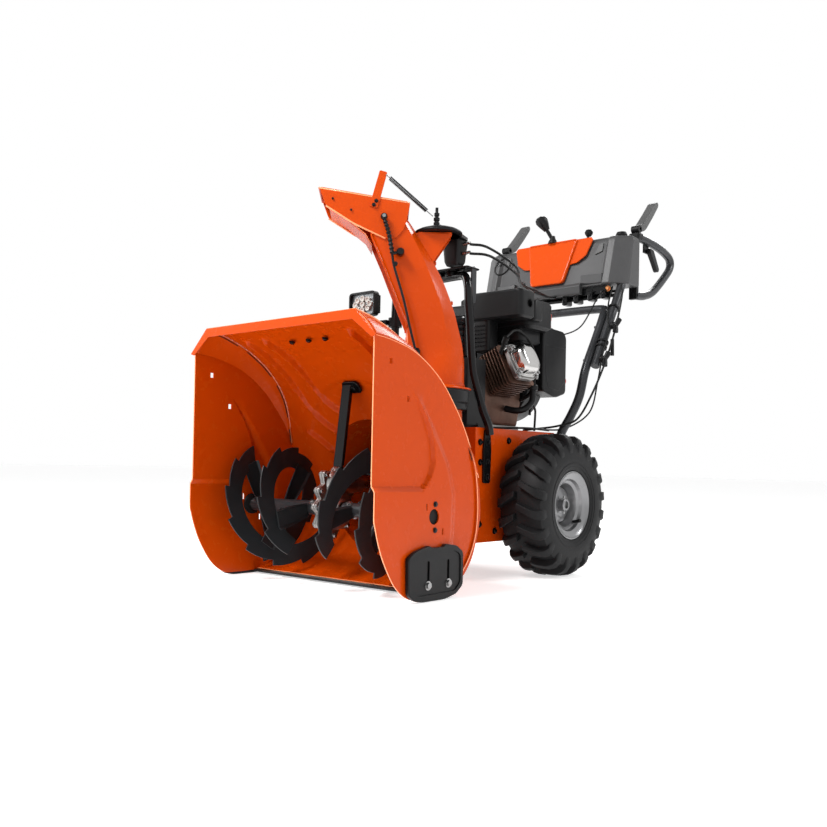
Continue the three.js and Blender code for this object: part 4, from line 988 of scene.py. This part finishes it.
def wheel_rim(sign):
    name = hand(sign)
    centre = Vector((sign * middle("tyre_left").x, AXLE.y, AXLE.z))
    bowl = [(17, 20), (34, 20), (44, 16), (48, 8), (54, 6), (58, 22), (62, 34), (70, 38), (73, 46),
            (78, 49), (84, 51),
            (89, 56), (90.5, 60), (88.5, 60.5), (84, 55), (77, 52.5), (70, 50), (66, 42), (58, 38),
            (54, 28), (50, 12),
            (47, 20), (36, 24), (17, 24), (17, 20)]
    make(f"rim_bowl_{name}", turned(bowl, (sign, 0, 0), centre, 72), RIM, f"wheel_{name[0]}", [f"rim_{name}"])
    barrel = [(89, -58), (89, -54), (76, -50), (74, 0), (76, 48), (74, 48), (71, 0), (73, -52), (86, -56),
              (86, -60), (89, -58)]
    hub = turned([(10.2, -64), (17, -64), (17, 40), (15, 42), (10.2, 42), (10.2, -64)], (sign, 0, 0),
                 centre, 32)
    make(f"rim_barrel_{name}", merge(turned(barrel, (sign, 0, 0), centre, 72), hub), RIM, f"wheel_{name[0]}")
    inner = turned([(17, -20), (70, -20), (72, -18), (72, -16), (17, -16), (17, -20)], (sign, 0, 0), centre,
                   48)
    make(f"rim_web_{name}", inner, RIM, f"wheel_{name[0]}")
    bead = [centre + Vector((sign * 34, 13 * math.cos(a), 13 * math.sin(a) + 4)) for a in
            (math.radians(d) for d in range(-60, 241, 15))]
    pin = merge(rod(centre + Vector((sign * 34, 0, -24)), centre + Vector((sign * 34, 0, 24)), 3),
                sweep(bead, 1.6, 8))
    stem = merge(rod(centre + Vector((sign * 40, 40, -46)), centre + Vector((sign * 58, 38, -43)), 4.2),
                 rod(centre + Vector((sign * 57, 38, -43)), centre + Vector((sign * 63, 37.5, -42)), 4.8))
    make(f"klik_pin_{name}", pin, ZINC, f"wheel_{name[0]}")
    make(f"valve_stem_{name}", stem, RUBBER, f"wheel_{name[0]}")


for side in (1, -1):
    tyre(side)
    wheel_rim(side)
finish_node("wheel_axle", ZINC, 0.5)


# ------------------------------------------------------------------ tractor frame, belt cover
def tractor():
    finish_node("tractor_frame", ORANGE, 1.2)
    finish_node("belt_cover", PLASTIC, 3.0)
    heads = [bolt(at(sign * 155.3, y, z), (sign, 0, 0), 7) for sign in (1, -1)
             for y, z in ((568, 352), (570, 300), (570, 140), (700, 360), (840, 360), (900, 330),
                          (905, 250), (640, 120))]
    make("frame_bolts", merge(*heads), BLACK)
    lo, hi = low("belt_cover"), high("belt_cover")
    ribs = [prism([(lo.x + 14, z), (hi.x - 14, z), (hi.x - 14, z + 5), (lo.x + 14, z + 5)],
                  lambda x, z, w: Vector((x, lo.y - 2 + w, z)), 4) for z in (430, 470, 510, 545)]
    make("belt_cover_ribs", merge(*ribs), PLASTIC, bevel=0.8)


tractor()


# ------------------------------------------------------------------ engine
CRANK = Vector((0, middle("crank_pulley").y, middle("crank_pulley").z))
BORE = Vector((CRANK.x, middle("valve_cover").y, CRANK.z))
LEAN = math.radians(25)
OUT = Vector((math.cos(LEAN), 0, math.sin(LEAN)))
OVER = Vector((-math.sin(LEAN), 0, math.cos(LEAN)))


def on_bore(out, y, up):
    """A place measured along the leaning cylinder from the crankshaft."""
    return BORE + OUT * out + Vector((0, y, 0)) + OVER * up


def bore_prism(outline, start, end):
    return prism(outline, lambda y, up, w: on_bore(start + w, y, up), end - start)


def cylinder_head():
    fins = []
    for k in range(FINS):
        out = 84 + FIN_PITCH * k
        grow = 1 if k > 1 else 0.9
        outline = rounded([(-60 * grow, -56), (60 * grow, -56), (60 * grow, 58), (20, 62),
                           (-60 * grow, 58)], 12)
        fins.append(bore_prism(outline, out, out + 3))
    make("cylinder_fins", merge(*fins), RUSTY)
    core = peg(42, 30, 176, OUT, BORE, 40)
    make("cylinder_core", core, RUSTY)
    gasket = rounded([(-50, -52), (-54, -10), (-50, 44), (-28, 54), (34, 54), (52, 34), (52, -30),
                      (32, -52)], 12)
    head_plate = bore_prism(gasket, 172, 184)
    make("cylinder_head_plate", head_plate, CAST, bevel=1.4)
    heads = [bolt(on_bore(184, y, up), OUT, 7) for y, up in ((-45, -42), (-44, 38), (42, 44), (44, -40))]
    make("cylinder_head_bolts", merge(*heads), ZINC)
    rows = []
    for out, grow in ((184.5, 1.12), (189, 1.12), (190, 1.0), (204, 0.96), (212, 0.9), (217, 0.8),
                      (219.5, 0.62)):
        rows.append([on_bore(out, y * grow, up * grow) for y, up in rounded(
            [(-34, -42), (-42, -14), (-40, 26), (-20, 44), (24, 44), (42, 22), (42, -20), (26, -42)], 12)])
    make("valve_cover_shell", bar_of(rows), POLISHED, replaces=["valve_cover"], bevel=0.6)
    ears = [turned([(0, 184), (8, 184), (8, 194), (5, 197), (5, 201), (0, 201)], OUT,
                   BORE + Vector((0, y, 0)) + OVER * up, 14) for y,
                   up in ((-40, -34), (-40, 34), (40, 34), (40, -34))]
    make("valve_cover_screws", merge(*ears), ZINC)
    plug = merge(rod(on_bore(158, -52, 30), on_bore(192, -66, 48), 6),
                 rod(on_bore(190, -65, 47), on_bore(206, -71, 56), 8.5))
    make("spark_plug_boot", plug, RUBBER)
    lead = sweep(spline([on_bore(205, -71, 56), on_bore(214, -30, 78), on_bore(206, 20, 84),
                         on_bore(196, 66, 60),
                         on_bore(186, 74, 0), on_bore(150, 84, -40)], 40), 3.4, 10)
    make("spark_lead", lead, RUBBER)


def crankcase():
    base = low("engine_block").z
    rows = []
    for y, grow in ((-82, 0.9), (-76, 1.0), (104, 1.0), (110, 0.9)):
        rows.append([Vector((x * grow, BORE.y + y, CRANK.z + z * grow)) for x, z in rounded(
            [(-80, base - CRANK.z + 12), (84, base - CRANK.z + 12), (96, -20), (92, 30), (44, 66),
             (-40, 66), (-80, 20)], 12)])
    make("crankcase", bar_of(rows), RUSTY, replaces=["engine_block"], bevel=1.2)
    foot = prism(rounded([(-82, -88), (88, -88), (88, 116), (-82, 116)], 10),
                 lambda x, y, w: Vector((x, BORE.y + y, base + w)), 15)
    make("engine_foot", foot, CAST, bevel=1.2)
    plate = prism(rounded([(-56, -40), (-40, 48), (40, 58), (66, 24), (62, -48), (20, -74), (-44, -70)], 14),
                  lambda x, z, w: Vector((x, BORE.y - 88 + w, CRANK.z + z)), 7)
    make("crankcase_cover", plate, RUSTY, bevel=1.4)
    ring = [bolt(Vector((56 * math.cos(a), BORE.y - 88, CRANK.z - 8 + 58 * math.sin(a))), (0, -1, 0), 5.5)
            for a in
            (2 * math.pi * k / 7 for k in range(7))]
    make("crankcase_bolts", merge(*ring), ZINC)
    hose = sweep(spline([at(96, 770, 452), at(128, 776, 446), at(150, 788, 452), at(160, 806, 474),
                         at(158, 812, 506)], 30),
                 9, 16)
    make("oil_neck", hose, PLASTIC)
    cap = turned([(0, 0), (13, 0), (14, 3), (14, 12), (11, 16), (0, 16)], (0, 0.1, 1), at(158, 812, 504), 12)
    make("oil_cap", cap, PLASTIC, bevel=0.8)
    elbow = sweep(spline([at(92, 846, 560), at(124, 852, 548), at(136, 852, 520), at(120, 850, 494),
                          at(92, 846, 480)], 24), 6, 12)
    make("breather_hose", elbow, RUBBER)


def rounded_box(x0, x1, y0, y1, z0, z1, corner=16, crown=5):
    rows = []
    for z, inset in ((z0, crown), (z0 + crown, 0), (z1 - crown * 1.4, 0), (z1 - crown * 0.4, crown * 0.5),
                     (z1, crown * 1.7)):
        rows.append([at(x, y, z) for x, y in rounded([(x0 + inset, y0 + inset), (x1 - inset, y0 + inset),
                                                     (x1 - inset, y1 - inset), (x0 + inset, y1 - inset)],
                                                     corner, 5)])
    return bar_of(rows)


def top_covers():
    guard = make("muffler_guard_shell", rounded_box(18, 199, 682, 756, 690, 768, 18, 6), PLASTIC,
                 replaces=["muffler"], bevel=0.5)
    hole = peg(13, 0, 30, (1, 0, 0), at(176, 724, 730), 28)
    carve(guard, hole)
    # A near-black ring lines the hole: painted shade on the hole's wall.
    ring = hoop(11, 14, 0, 3, (1, 0, 0), at(196.5, 724, 730), 28)
    make("guard_hole_ring", ring, PAINTED_SHADE_BLACK)
    neck = make("guard_neck", rounded_box(30, 92, 690, 740, 606, 696, 14, 2), PLASTIC)
    dots = [peg(2.6, 0, 14, (0, -1, 0), at(48 + 9 * c, 700, 620 + 11 * r), 10)
            for c in range(4) for r in range(6)]
    carve(neck, merge(*dots))
    can = rounded_box(-130, 20, 688, 752, 588, 716, 26, 10)
    make("muffler_can", can, BLACK)
    louvres = [prism(rounded([(-118, 0), (8, 0), (8, 7), (-118, 7)], 3), lambda x, z, w,
                     k=k: at(x, 684 + w, 606 + 16 * k + z), 6)
               for k in range(6)]
    make("muffler_louvres", merge(*louvres), BLACK, bevel=0.6)
    tank = rounded_box(-132, 178, 758, 886, 672, 757, 26, 9)
    make("tank_shell", tank, PLASTIC, replaces=["fuel_tank"])
    shroud = rounded_box(16, 150, 762, 868, 634, 682, 18, 6)
    make("cylinder_shroud", shroud, PLASTIC)
    step = rounded_box(120, 192, 760, 806, 690, 748, 12, 4)
    make("air_box", step, PLASTIC)
    lo, hi = low("fuel_cap"), high("fuel_cap")
    cap = turned([(0, 0.5), (30, 0.5), (33.5, 3), (33.5, 16), (31, 21), (22, 23), (20, hi.z - lo.z),
                  (0, hi.z - lo.z)],
                 (0, 0, 1), (middle("fuel_cap").x, middle("fuel_cap").y, lo.z), 48)
    make("fuel_cap_shell", cap, PLASTIC, "cap", ["fuel_cap"], bevel=0.8)
    notches = [peg(1.8, 3, 18, (0, 0, 1),
                      (middle("fuel_cap").x + 33 * math.cos(a), middle("fuel_cap").y + 33 * math.sin(a),
                       lo.z), 8)
               for a in (2 * math.pi * k / 24 for k in range(24))]
    make("fuel_cap_ribs", merge(*notches), PLASTIC, "cap")


def rear_covers():
    centre = Vector((0, 0, CRANK.z + 40))
    drum_shape = turned([(0, 852), (108, 852), (115, 860), (115, 936), (108, 946), (84, 950), (84, 976),
                         (76, 984), (0, 984)],
                        (0, 1, 0), centre + Vector((0, FRONT, 0)), 64)
    make("recoil_shell", drum_shape, PLASTIC, replaces=["recoil_housing"], bevel=1)
    # The vent slots are near-black strips on the cover: painted shade standing in for the openings.
    vents = []
    for k in range(18):
        a = 2 * math.pi * k / 18
        turn = Matrix.Rotation(a, 3, "Y")
        slot_shape = prism([(40, 982), (74, 982), (74, 985.2), (40, 985.2)], lambda r, y,
                           w: Vector((r, FRONT + y, w - 2.5)), 5)
        vents.append(moved(slot_shape, lambda v: turn @ v + centre))
    make("recoil_vents", merge(*vents), PAINTED_SHADE_BLACK, bevel=0.5)
    boss = rounded_box(20, 68, 944, 983, 594, 630, 10, 4)
    make("starter_boss", boss, PLASTIC)
    outline = rounded([(872, 508), (944, 492), (1000, 508), (1000, 672), (985, 688), (872, 692)], 14)
    panel = make("side_panel", prism(outline, lambda y, z, w: at(100 + w, y, z), 53), PLASTIC, bevel=3)
    pocket = peg(17, -10, 8, (0, 1, 0), pivot_of("primer_bulb", 1000), 24)
    carve(panel, pocket)
    ledge = prism([(884, 560), (900, 520), (958, 512), (990, 540), (990, 640), (884, 640)],
                  lambda y, z, w: at(150 + w, y, z), 3.4)
    make("side_panel_relief", ledge, PLASTIC, bevel=1.4)
    link = block(96, 104, 874, 940, 505, 690)
    make("side_panel_bridge", link, PLASTIC, bevel=1)
    neck = turned([(0, 0), (20, 0), (20, 22), (16, 26), (0, 26)], (0, 0, 1), at(132, 912, 664), 24)
    make("choke_base", neck, PLASTIC, bevel=1)
    lo = low("choke_knob")
    mid = middle("choke_knob")
    knob = merge(turned([(0, 0.5), (17, 0.5), (18, 4), (17, 22), (0, 24)], (0, 0, 1), (mid.x, mid.y, lo.z),
                        20),
                 prism(rounded([(-18, 20), (18, 20), (18, 42), (8, 45), (-4, 40), (-18, 44)], 4),
                       lambda x, z, w: Vector((mid.x + x, mid.y - 7 + w, lo.z + z)), 14))
    make("choke_knob_cap", knob, RED, "choke", ["choke_knob"], bevel=1.2)
    bulb = turned([(0, 0.4), (15, 0.4), (15, 4), (13, 9), (9, 12.5), (0, 13.8)], (0, 1, 0),
                  pivot_of("primer_bulb", 1000), 32)
    make("primer_dome", bulb, RED, "primer", ["primer_bulb"])
    lo, hi = low("starter_grip"), high("starter_grip")
    pull = prism(rounded([(lo.x, lo.z + 2), (lo.x + 10, lo.z), (hi.x - 10, lo.z), (hi.x, lo.z + 2),
                          (hi.x, hi.z - 2),
                          (hi.x - 10, hi.z), (lo.x + 10, hi.z), (lo.x, hi.z - 2)], 6),
                 lambda x, z, w: Vector((x, lo.y + w, z)), hi.y - lo.y)
    make("starter_pull", pull, PLASTIC, "starter", ["starter_grip"], bevel=3)
    mid = middle("starter_grip")
    rope = rod((mid.x, lo.y - 158, mid.z), (mid.x, lo.y + 6, mid.z), 2.6, 12)
    make("starter_rope", rope, RUBBER, "starter")


def pivot_of(node, y):
    mid = middle(node)
    return Vector((mid.x, FRONT + y, mid.z))


cylinder_head()
crankcase()
top_covers()
rear_covers()

# ------------------------------------------------------------------ handles
SLOPE = 0.596


def handle_y(z):
    return 1077 + SLOPE * (z - 694)


UPPER = middle("upper_handle_left").x


def handles():
    def side(sign):
        return [at(sign * x, y, z) for x, y, z in (
            (168.5, 934, 358), (170, 955, 396), (188, 970, 440), (206, 986, 498),
            (213, handle_y(580) - 2, 580),
            (213, handle_y(680), 680), (213, handle_y(738), 738), (204, 1128, 762), (180, 1144, 775))]

    path = spline(side(1) + [at(0, 1147, 777)] + list(reversed(side(-1))), 150)
    make("lower_handle_tube", sweep(path, HANDLE_RADIUS, 24), TUBE, replaces=["lower_handle"])
    for sign in (1, -1):
        name = hand(sign)
        path = [at(sign * UPPER, handle_y(z), z) for z in (585, 640, 700, 780, 846)]
        make(f"upper_handle_tube_{name}", sweep(path, HANDLE_RADIUS, 24), TUBE,
             replaces=[f"upper_handle_{name}"])
        parts = []
        for z in (606, 711):
            centre = at(sign * UPPER, handle_y(z), z)
            axis = Vector((sign, 0, 0))
            parts.append(turned([(0, 12), (11, 12), (11, 20), (6, 22), (6, 30), (0, 30)], axis, centre, 20))
            for wing in (1, -1):
                tilt = Vector((0, 0.5, 0.86)) * wing
                parts.append(sweep([centre + axis * 24, centre + axis * 28 + tilt * 13,
                                    centre + axis * 30 + tilt * 24],
                                   lambda t: 7.5 + 1.2 * t, 14, flat=0.7))
            parts.append(rod(centre - axis * 44, centre - axis * 10, 4, 12))
        make(f"wing_knobs_{name}", merge(*parts), PLASTIC, bevel=0.5)
        foot = prism(rounded([(-20, -34), (20, -30), (22, 34), (-18, 36)], 8),
                     lambda y, z, w: at(sign * (155.4 + w), 928 + y, 352 + z), 3)
        heads = merge(*[bolt(at(sign * 158.6, 928 + dy, 352 + z), (sign, 0, 0), 7) for dy,
                        z in ((-8, -20), (10, 22))])
        make(f"handle_foot_{name}", merge(foot, heads), BLACK, bevel=0.8)


def dash():
    foot, top = low("dash_panel").z, high("dash_panel").z

    def ring(z, inset=0.0, lift=0.0):
        rise = (z - foot) * DASH_LEAN
        half = 262 - inset
        rear = 1240 - inset
        front = 1124 + inset
        points = [(half, rear), (half, front + 48), (half - 14, front + 26), (216, front + 3),
                  (196, front + 1),
                  (186, front + 14), (120, front + 15), (60, front + 10), (0, front + 10)]
        line = [(x, y + rise * min(1, max(0, (rear - y) / 90))) for x, y in points]
        line = line + [(-x, y) for x, y in reversed(line[:-1])]
        return [at(x, y, z + lift * (1 - abs(x) / 262)) for x, y in line]

    rows = [ring(foot, 3), ring(foot + 4), ring(foot + 34), ring(foot + 90), ring(top - 16), ring(top - 6, 3),
            ring(top - 1, 9), ring(top + 0.5, 22)]
    shell = bar_of(rows)
    make("dash_shell", shell, DASH, replaces=["dash_panel"], bevel=1.5, crease=24)
    lip = loft([[at(x, y, z) for y, z in ((1134, 826), (1130, 830), (1126, 852), (1136, 862), (1150, 852),
                                          (1146, 826))]
                for x in (-120, -60, 60, 120)], around=True, capped=True)
    make("dash_chin", lip, DASH, bevel=2)
    for sign in (1, -1):
        step = loft([[at(sign * x, y, z) for y, z in ((1130 + d, 862 - d), (1131 + d, 884), (1150, 884),
                                                      (1150, 850))]
                     for x, d in ((120, 2), (150, 6), (190, 6))], around=True, capped=True)
        make(f"dash_step_{hand(sign)}", step, DASH, bevel=1.5)
        notch = prism(rounded([(150, 950), (176, 958), (176, 984), (162, 984)], 3),
                      lambda x, z, w: at(sign * x, 1138 + (z - foot) * DASH_LEAN - 4 + w, z), 3)
        make(f"dash_notch_{hand(sign)}", notch, PAD, bevel=0.8)


def dash_cover():
    """The orange cover: a raised shield in the middle with a wing on each side."""
    foot = low("dash_panel").z

    def front(x, z, out):
        return at(x, 1134 + (z - foot) * DASH_LEAN - out, z)

    shield = [(-58, 872), (-50, 867), (54, 867), (62, 874), (88, 1002), (84, 1008), (-84, 1008), (-88, 1002)]
    rows = [[front(x, z, 1) for x, z in shield], [front(x, z, 11) for x, z in shield],
            [front(x * 0.95, 937 + (z - 937) * 0.95, 14) for x, z in shield]]
    make("cover_shield", bar_of(rows), ORANGE, replaces=["dash_cover"], bevel=2.2)
    for sign in (1, -1):
        wing = [(78, 1009), (134, 1009), (140, 1000), (124, 950), (96, 930), (70, 926)]
        rows = [[front(sign * x, z, 0.5) for x, z in wing], [front(sign * x, z, 7) for x, z in wing]]
        make(f"cover_wing_{hand(sign)}", bar_of(rows), ORANGE, bevel=2)
    top = prism(rounded([(-86, 1162), (86, 1162), (78, 1226), (-78, 1226)], 8), lambda x, y,
                w: at(x, y, 1003 + w), 6)
    make("cover_top", top, ORANGE, bevel=2)


def under_dash():
    """The black linkage under the dash."""
    parts = [block(-205, 205, 1150, 1176, 824, 846), rod(at(-236, 1168, 818), at(236, 1168, 818), 6),
             rod(at(-228, 1188, 834), at(228, 1188, 834), 4.5)]
    for x in (-196, -150, -104, -60, 58, 98, 146, 190):
        parts.append(rounded_box(x - 9, x + 9, 1144, 1182, 796 + abs(x) * 0.06, 836, 5, 3))
        parts.append(rod(at(x - 4, 1148, 812), at(x + 12, 1140, 836), 3, 10))
    make("control_linkage", merge(*parts), BLACK, bevel=0.8)
    bolts = merge(*[bolt(at(x, 1148, 836), (0, -1, 0), 7) for x in (-212, 206)])
    make("linkage_bolts", bolts, COPPER)


def loops():
    for sign in (1, -1):
        name = hand(sign)
        path = spline([at(sign * x, y, z) for x, y, z in (
            (240, 1248, 1006), (246, 1296, 1008), (253, 1380, 1000), (253, 1448, 988), (253, 1477, 974),
            (253, 1478.8, 952),
            (253, 1450, 922), (253, 1360, 856), (250, 1300, 832), (244, 1248, 826))], 90)
        make(f"loop_tube_{name}", sweep(path, LOOP_RADIUS, 22), TUBE, replaces=[f"grip_loop_{name}"])
        bracket = merge(block(sign * 228, sign * 254, 1240.5, 1255, 814, 1018),
                        rounded_box(min(sign * 222, sign * 258), max(sign * 222, sign * 258), 1244, 1276,
                                    1002, 1021, 6, 3))
        make(f"loop_bracket_{name}", bracket, PLASTIC, bevel=1.2)
        hanger = merge(block(min(sign * 240, sign * 245.4), max(sign * 240, sign * 245.4), 1306, 1338, 970,
                             1004),
                       bolt(at(sign * 240, 1326, 978), (-sign, 0, 0), 5))
        make(f"trigger_hanger_{name}", hanger, PLASTIC, bevel=0.8)
        lever = "drive_lever" if sign > 0 else "auger_lever"
        body = "lever_l" if sign > 0 else "lever_r"
        pad = rounded([(1252, 1036), (1284, 1056), (1330, 1100), (1368, 1139), (1382, 1145), (1391, 1138),
                       (1388, 1126),
                       (1350, 1084), (1304, 1038), (1270, 1025)], 6)
        x0, x1 = (226, 252)
        rows = []
        for share, grow in ((0, 0.86), (0.16, 1.0), (0.84, 1.0), (1, 0.86)):
            x = sign * (x0 + (x1 - x0) * share)
            mid = Vector((1322, 1086))
            rows.append([at(x, mid.x + (y - mid.x) * (0.97 + 0.03 * (grow - 0.86) / 0.14),
                            mid.y + (z - mid.y) * grow + (y - mid.x) * (1 - grow) * 0.93) for y, z in pad])
        make(f"{lever}_pad", bar_of(rows), PAD, body, [lever], bevel=1.2)
        boss = peg(12, -13, 13, (1, 0, 0), at(sign * 239, 1262, 1034), 24)
        make(f"{lever}_boss", boss, PLASTIC, body, bevel=1)
        trigger = rounded([(1318, 984), (1344, 982), (1360, 962), (1386, 928), (1380, 918), (1370, 920),
                           (1346, 946),
                           (1322, 970)], 5)
        shape = prism(trigger, lambda y, z, w: at(sign * (246 + w), y, z), 14)
        make(f"trigger_blade_{name}", shape, PLASTIC, f"trigger_{name[0]}", [f"steer_trigger_{name}"],
             bevel=2)


def knobs():
    base = at(0, 1166, 1018)
    tip = at(-21, 1140, 1069)
    ahead = (tip - base).normalized()
    stick = rod(base, tip, 6, 20)
    boot = turned([(15, -7), (13, -2), (9, 5), (7, 14), (0, 14), (0, -9), (15, -9), (15, -7)], (0, 0, 1),
                  base + Vector((0, 0, -2)), 28)
    knob = turned([(0, -20), (9, -20), (12, -12), (17, 2), (20, 14), (18, 23), (11, 29), (0, 31)], ahead,
                  tip - ahead * 6, 32)
    knob = moved(knob, lambda v: Vector((v.x, v.y, min(v.z, high("chute_joystick").z))))
    make("joystick_grip", merge(stick, knob), PLASTIC, "joystick", ["chute_joystick"])
    make("joystick_boot", boot, RUBBER)
    mid = middle("speed_lever")
    top = high("speed_lever").z
    ball = turned([(0, -13), (7, -11), (12, -4), (13, 2), (9, 9), (0, 12)], (0, 0, 1),
                  (mid.x + 1, mid.y + 1, top - 13), 28)
    stalk = rod((mid.x - 2, mid.y - 2, low("speed_lever").z), (mid.x, mid.y, top - 20), 4, 14)
    make("speed_knob", merge(ball, stalk), PLASTIC, "speed", ["speed_lever"])
    slot_plate = prism(rounded([(94, 1176), (118, 1176), (118, 1224), (94, 1224)], 6), lambda x, y,
                       w: at(x, y, 1003 + w), 2.4)
    make("speed_gate", slot_plate, PLASTIC, bevel=0.6)
    button = turned([(0, 0), (16, 0), (18, 6), (14, 15), (0, 19)], (0, 0, 1), at(218, 1206, 1002), 28)
    make("dash_button", button, PLASTIC)


handles()
dash()
dash_cover()
under_dash()
loops()
knobs()


# ------------------------------------------------------------------ cables
def cables():
    x0 = high("head_motor").x + 20
    y0 = middle("head_motor").y - FRONT
    for number, (dz, dx, sag) in enumerate(((0, 0, 0), (-24, 8, 10))):
        route = [at(x0, y0 + 4, 866 + dz), at(x0 + 26 + dx, y0 + 50, 862 + dz),
                 at(x0 + 20, y0 + 190, 838 - sag + dz / 3),
                 at(66 + dx, 880, 826 - sag), at(46 + dx, 1000, 822 - sag), at(28 + dx, 1118, 822),
                 at(20 + dx, 1160, 850)]
        make(f"head_cable_line_{number}", sweep(spline(route, 70), CABLE_RADIUS, 10), RUBBER,
             replaces=["head_cable"] if number == 0 else ())
    ring = [at(112 + 24 * math.cos(a), 720 + 26 * math.sin(a) * 0.4, 838 + 24 * math.sin(a)) for a in
            (2 * math.pi * k / 40 for k in range(41))]
    make("cable_ring", sweep(ring, 2.6, 8), RUBBER)
    ties = merge(*[hoop(6, 8, -2.5, 2.5, (0, 1, 0), p, 14) for p in
                   (at(116, 700, 842), at(62, 900, 824))])
    make("cable_ties", ties, PLASTIC)
    for sign in (1, -1):
        name = hand(sign)
        route = [at(sign * x, y, z) for x, y, z in (
            (254, 1140, 842), (266, 1120, 800), (266, 1082, 700), (264, 1030, 600), (246, 984, 500),
            (214, 960, 430),
            (170, 930, 410), (120, 900, 401), (84, 880, 396))]
        make(f"clutch_cable_{name}", sweep(spline(route, 80), 3, 10), RUBBER,
             replaces=["drive_cable"] if sign > 0 else ())
        second = [at(sign * x, y, z) for x, y, z in (
            (222, 1146, 840), (232, 1100, 770), (252, 1064, 690), (256, 1026, 620), (254, 1004, 540),
            (226, 1010, 452),
            (176, 960, 404), (130, 900, 398))]
        make(f"shift_cable_{name}", sweep(spline(second, 80), 2.4, 8), RUBBER)
        sleeve = sweep([at(sign * 265.4, 1066 + SLOPE * 0.8 * k, 668 - 12 * k) for k in range(5)],
                       lambda t: 5.4, 12)
        make(f"cable_sleeve_{name}", sleeve, PLASTIC)
        straps = merge(*[hoop(13, 17, -3, 3, (0, SLOPE, 1), at(sign * UPPER, handle_y(z), z), 20)
                         for z in (645, 660, 770)])
        make(f"tube_ties_{name}", straps, PLASTIC)
    throttle = spline([at(132, 912, 700), at(150, 960, 684), at(120, 1040, 690), at(150, 1090, 720),
                       at(190, 1110, 800),
                       at(196, 1150, 838)], 60)
    make("throttle_cable", sweep(throttle, 2.2, 8), RUBBER)
    cross = spline([at(150, 560, 398), at(120, 600, 396), at(60, 640, 398), at(110, 720, 396),
                    at(152, 800, 398),
                    at(158, 900, 396)], 60)
    make("frame_cable", sweep(cross, 3, 10), RUBBER)
    hook = spline([at(140, 852, 392), at(142, 852, 430), at(143, 850, 452), at(140, 842, 462),
                   at(137, 834, 452), at(137, 832, 436)], 40)
    make("shift_rod", sweep(hook, 3.2, 10), BLACK)


cables()


# ------------------------------------------------------------------ floor, light and camera
FLOOR_GLOW = 0.55
LAMP_AIM = Vector((0, 0, 0.45))
LAMPS = (
    ("key", (-0.4, -2.6, 3.4), 1.2, 170),
    ("left", (-3.4, -1.6, 2.0), 1.6, 70),
    ("right", (2.6, 1.6, 3.0), 1.0, 45),
    ("back", (-0.6, 3.4, 3.0), 1.6, 60),
)


def pale_ground():
    floor = bpy.data.meshes.new("floor")
    floor.from_pydata([(-30, -30, 0), (30, -30, 0), (30, 30, 0), (-30, 30, 0)], [], [[0, 1, 2, 3]])
    pale = material("pale_floor", (0.8, 0.8, 0.8), 0.7, mottle=0.01, bump=0.0, scale=2, shine=0.1)
    glow = pale.node_tree.nodes["Principled BSDF"].inputs
    glow["Emission Color"].default_value = (1, 1, 1, 1)
    glow["Emission Strength"].default_value = FLOOR_GLOW
    floor.materials.append(pale)
    ground = bpy.data.objects.new("floor", floor)
    bpy.context.collection.objects.link(ground)


def white_sky():
    """White round the horizon, dimmer overhead so that the top faces keep their colour."""
    world = bpy.data.worlds.new("studio")
    bpy.context.scene.world = world
    world.use_nodes = True
    world.node_tree.nodes["Background"].inputs["Color"].default_value = (1, 1, 1, 1)
    nodes, links = world.node_tree.nodes, world.node_tree.links
    place, split = nodes.new("ShaderNodeTexCoord"), nodes.new("ShaderNodeSeparateXYZ")
    fade = nodes.new("ShaderNodeMapRange")
    fade.interpolation_type = "SMOOTHSTEP"
    for socket, value in (("From Min", 0.5), ("From Max", 0.8), ("To Min", 1.0), ("To Max", 0.1)):
        fade.inputs[socket].default_value = value
    links.new(place.outputs["Generated"], split.inputs["Vector"])
    links.new(split.outputs["Z"], fade.inputs["Value"])
    links.new(fade.outputs["Result"], nodes["Background"].inputs["Strength"])


def lamps():
    for name, place, size, power in LAMPS:
        light = bpy.data.lights.new(name, "AREA")
        light.size = size
        light.energy = power
        lamp = bpy.data.objects.new(name, light)
        lamp.location = place
        lamp.rotation_euler = (LAMP_AIM - Vector(place)).to_track_quat("-Z", "Y").to_euler()
        bpy.context.collection.objects.link(lamp)


YAW = math.radians(41.58)
PITCH = math.radians(0.59)
ROLL = math.radians(1.17)
SENSOR_MM = 36
LENS_MM = 39.06
SHIFT = (0.0389, 0.0495)
EYE = Vector((1501.5, FRONT - 1331.9, 291.2))


def camera():
    forward = Vector((-math.sin(YAW) * math.cos(PITCH), math.cos(YAW) * math.cos(PITCH), math.sin(PITCH)))
    right = Vector((math.cos(YAW), math.sin(YAW), 0))
    up = right.cross(forward)
    right_rolled = math.cos(ROLL) * right + math.sin(ROLL) * up
    up_rolled = -math.sin(ROLL) * right + math.cos(ROLL) * up
    turn = Matrix((right_rolled, up_rolled, -forward)).transposed()
    lens = bpy.data.cameras.new("camera")
    lens.sensor_width = SENSOR_MM
    lens.lens = LENS_MM
    lens.shift_x, lens.shift_y = SHIFT
    eye = bpy.data.objects.new("camera", lens)
    eye.matrix_world = Matrix.Translation(EYE * MM) @ turn.to_4x4()
    bpy.context.collection.objects.link(eye)
    bpy.context.scene.camera = eye


pale_ground()
white_sky()
lamps()
camera()
bpy.context.scene.view_settings.view_transform = "Standard"
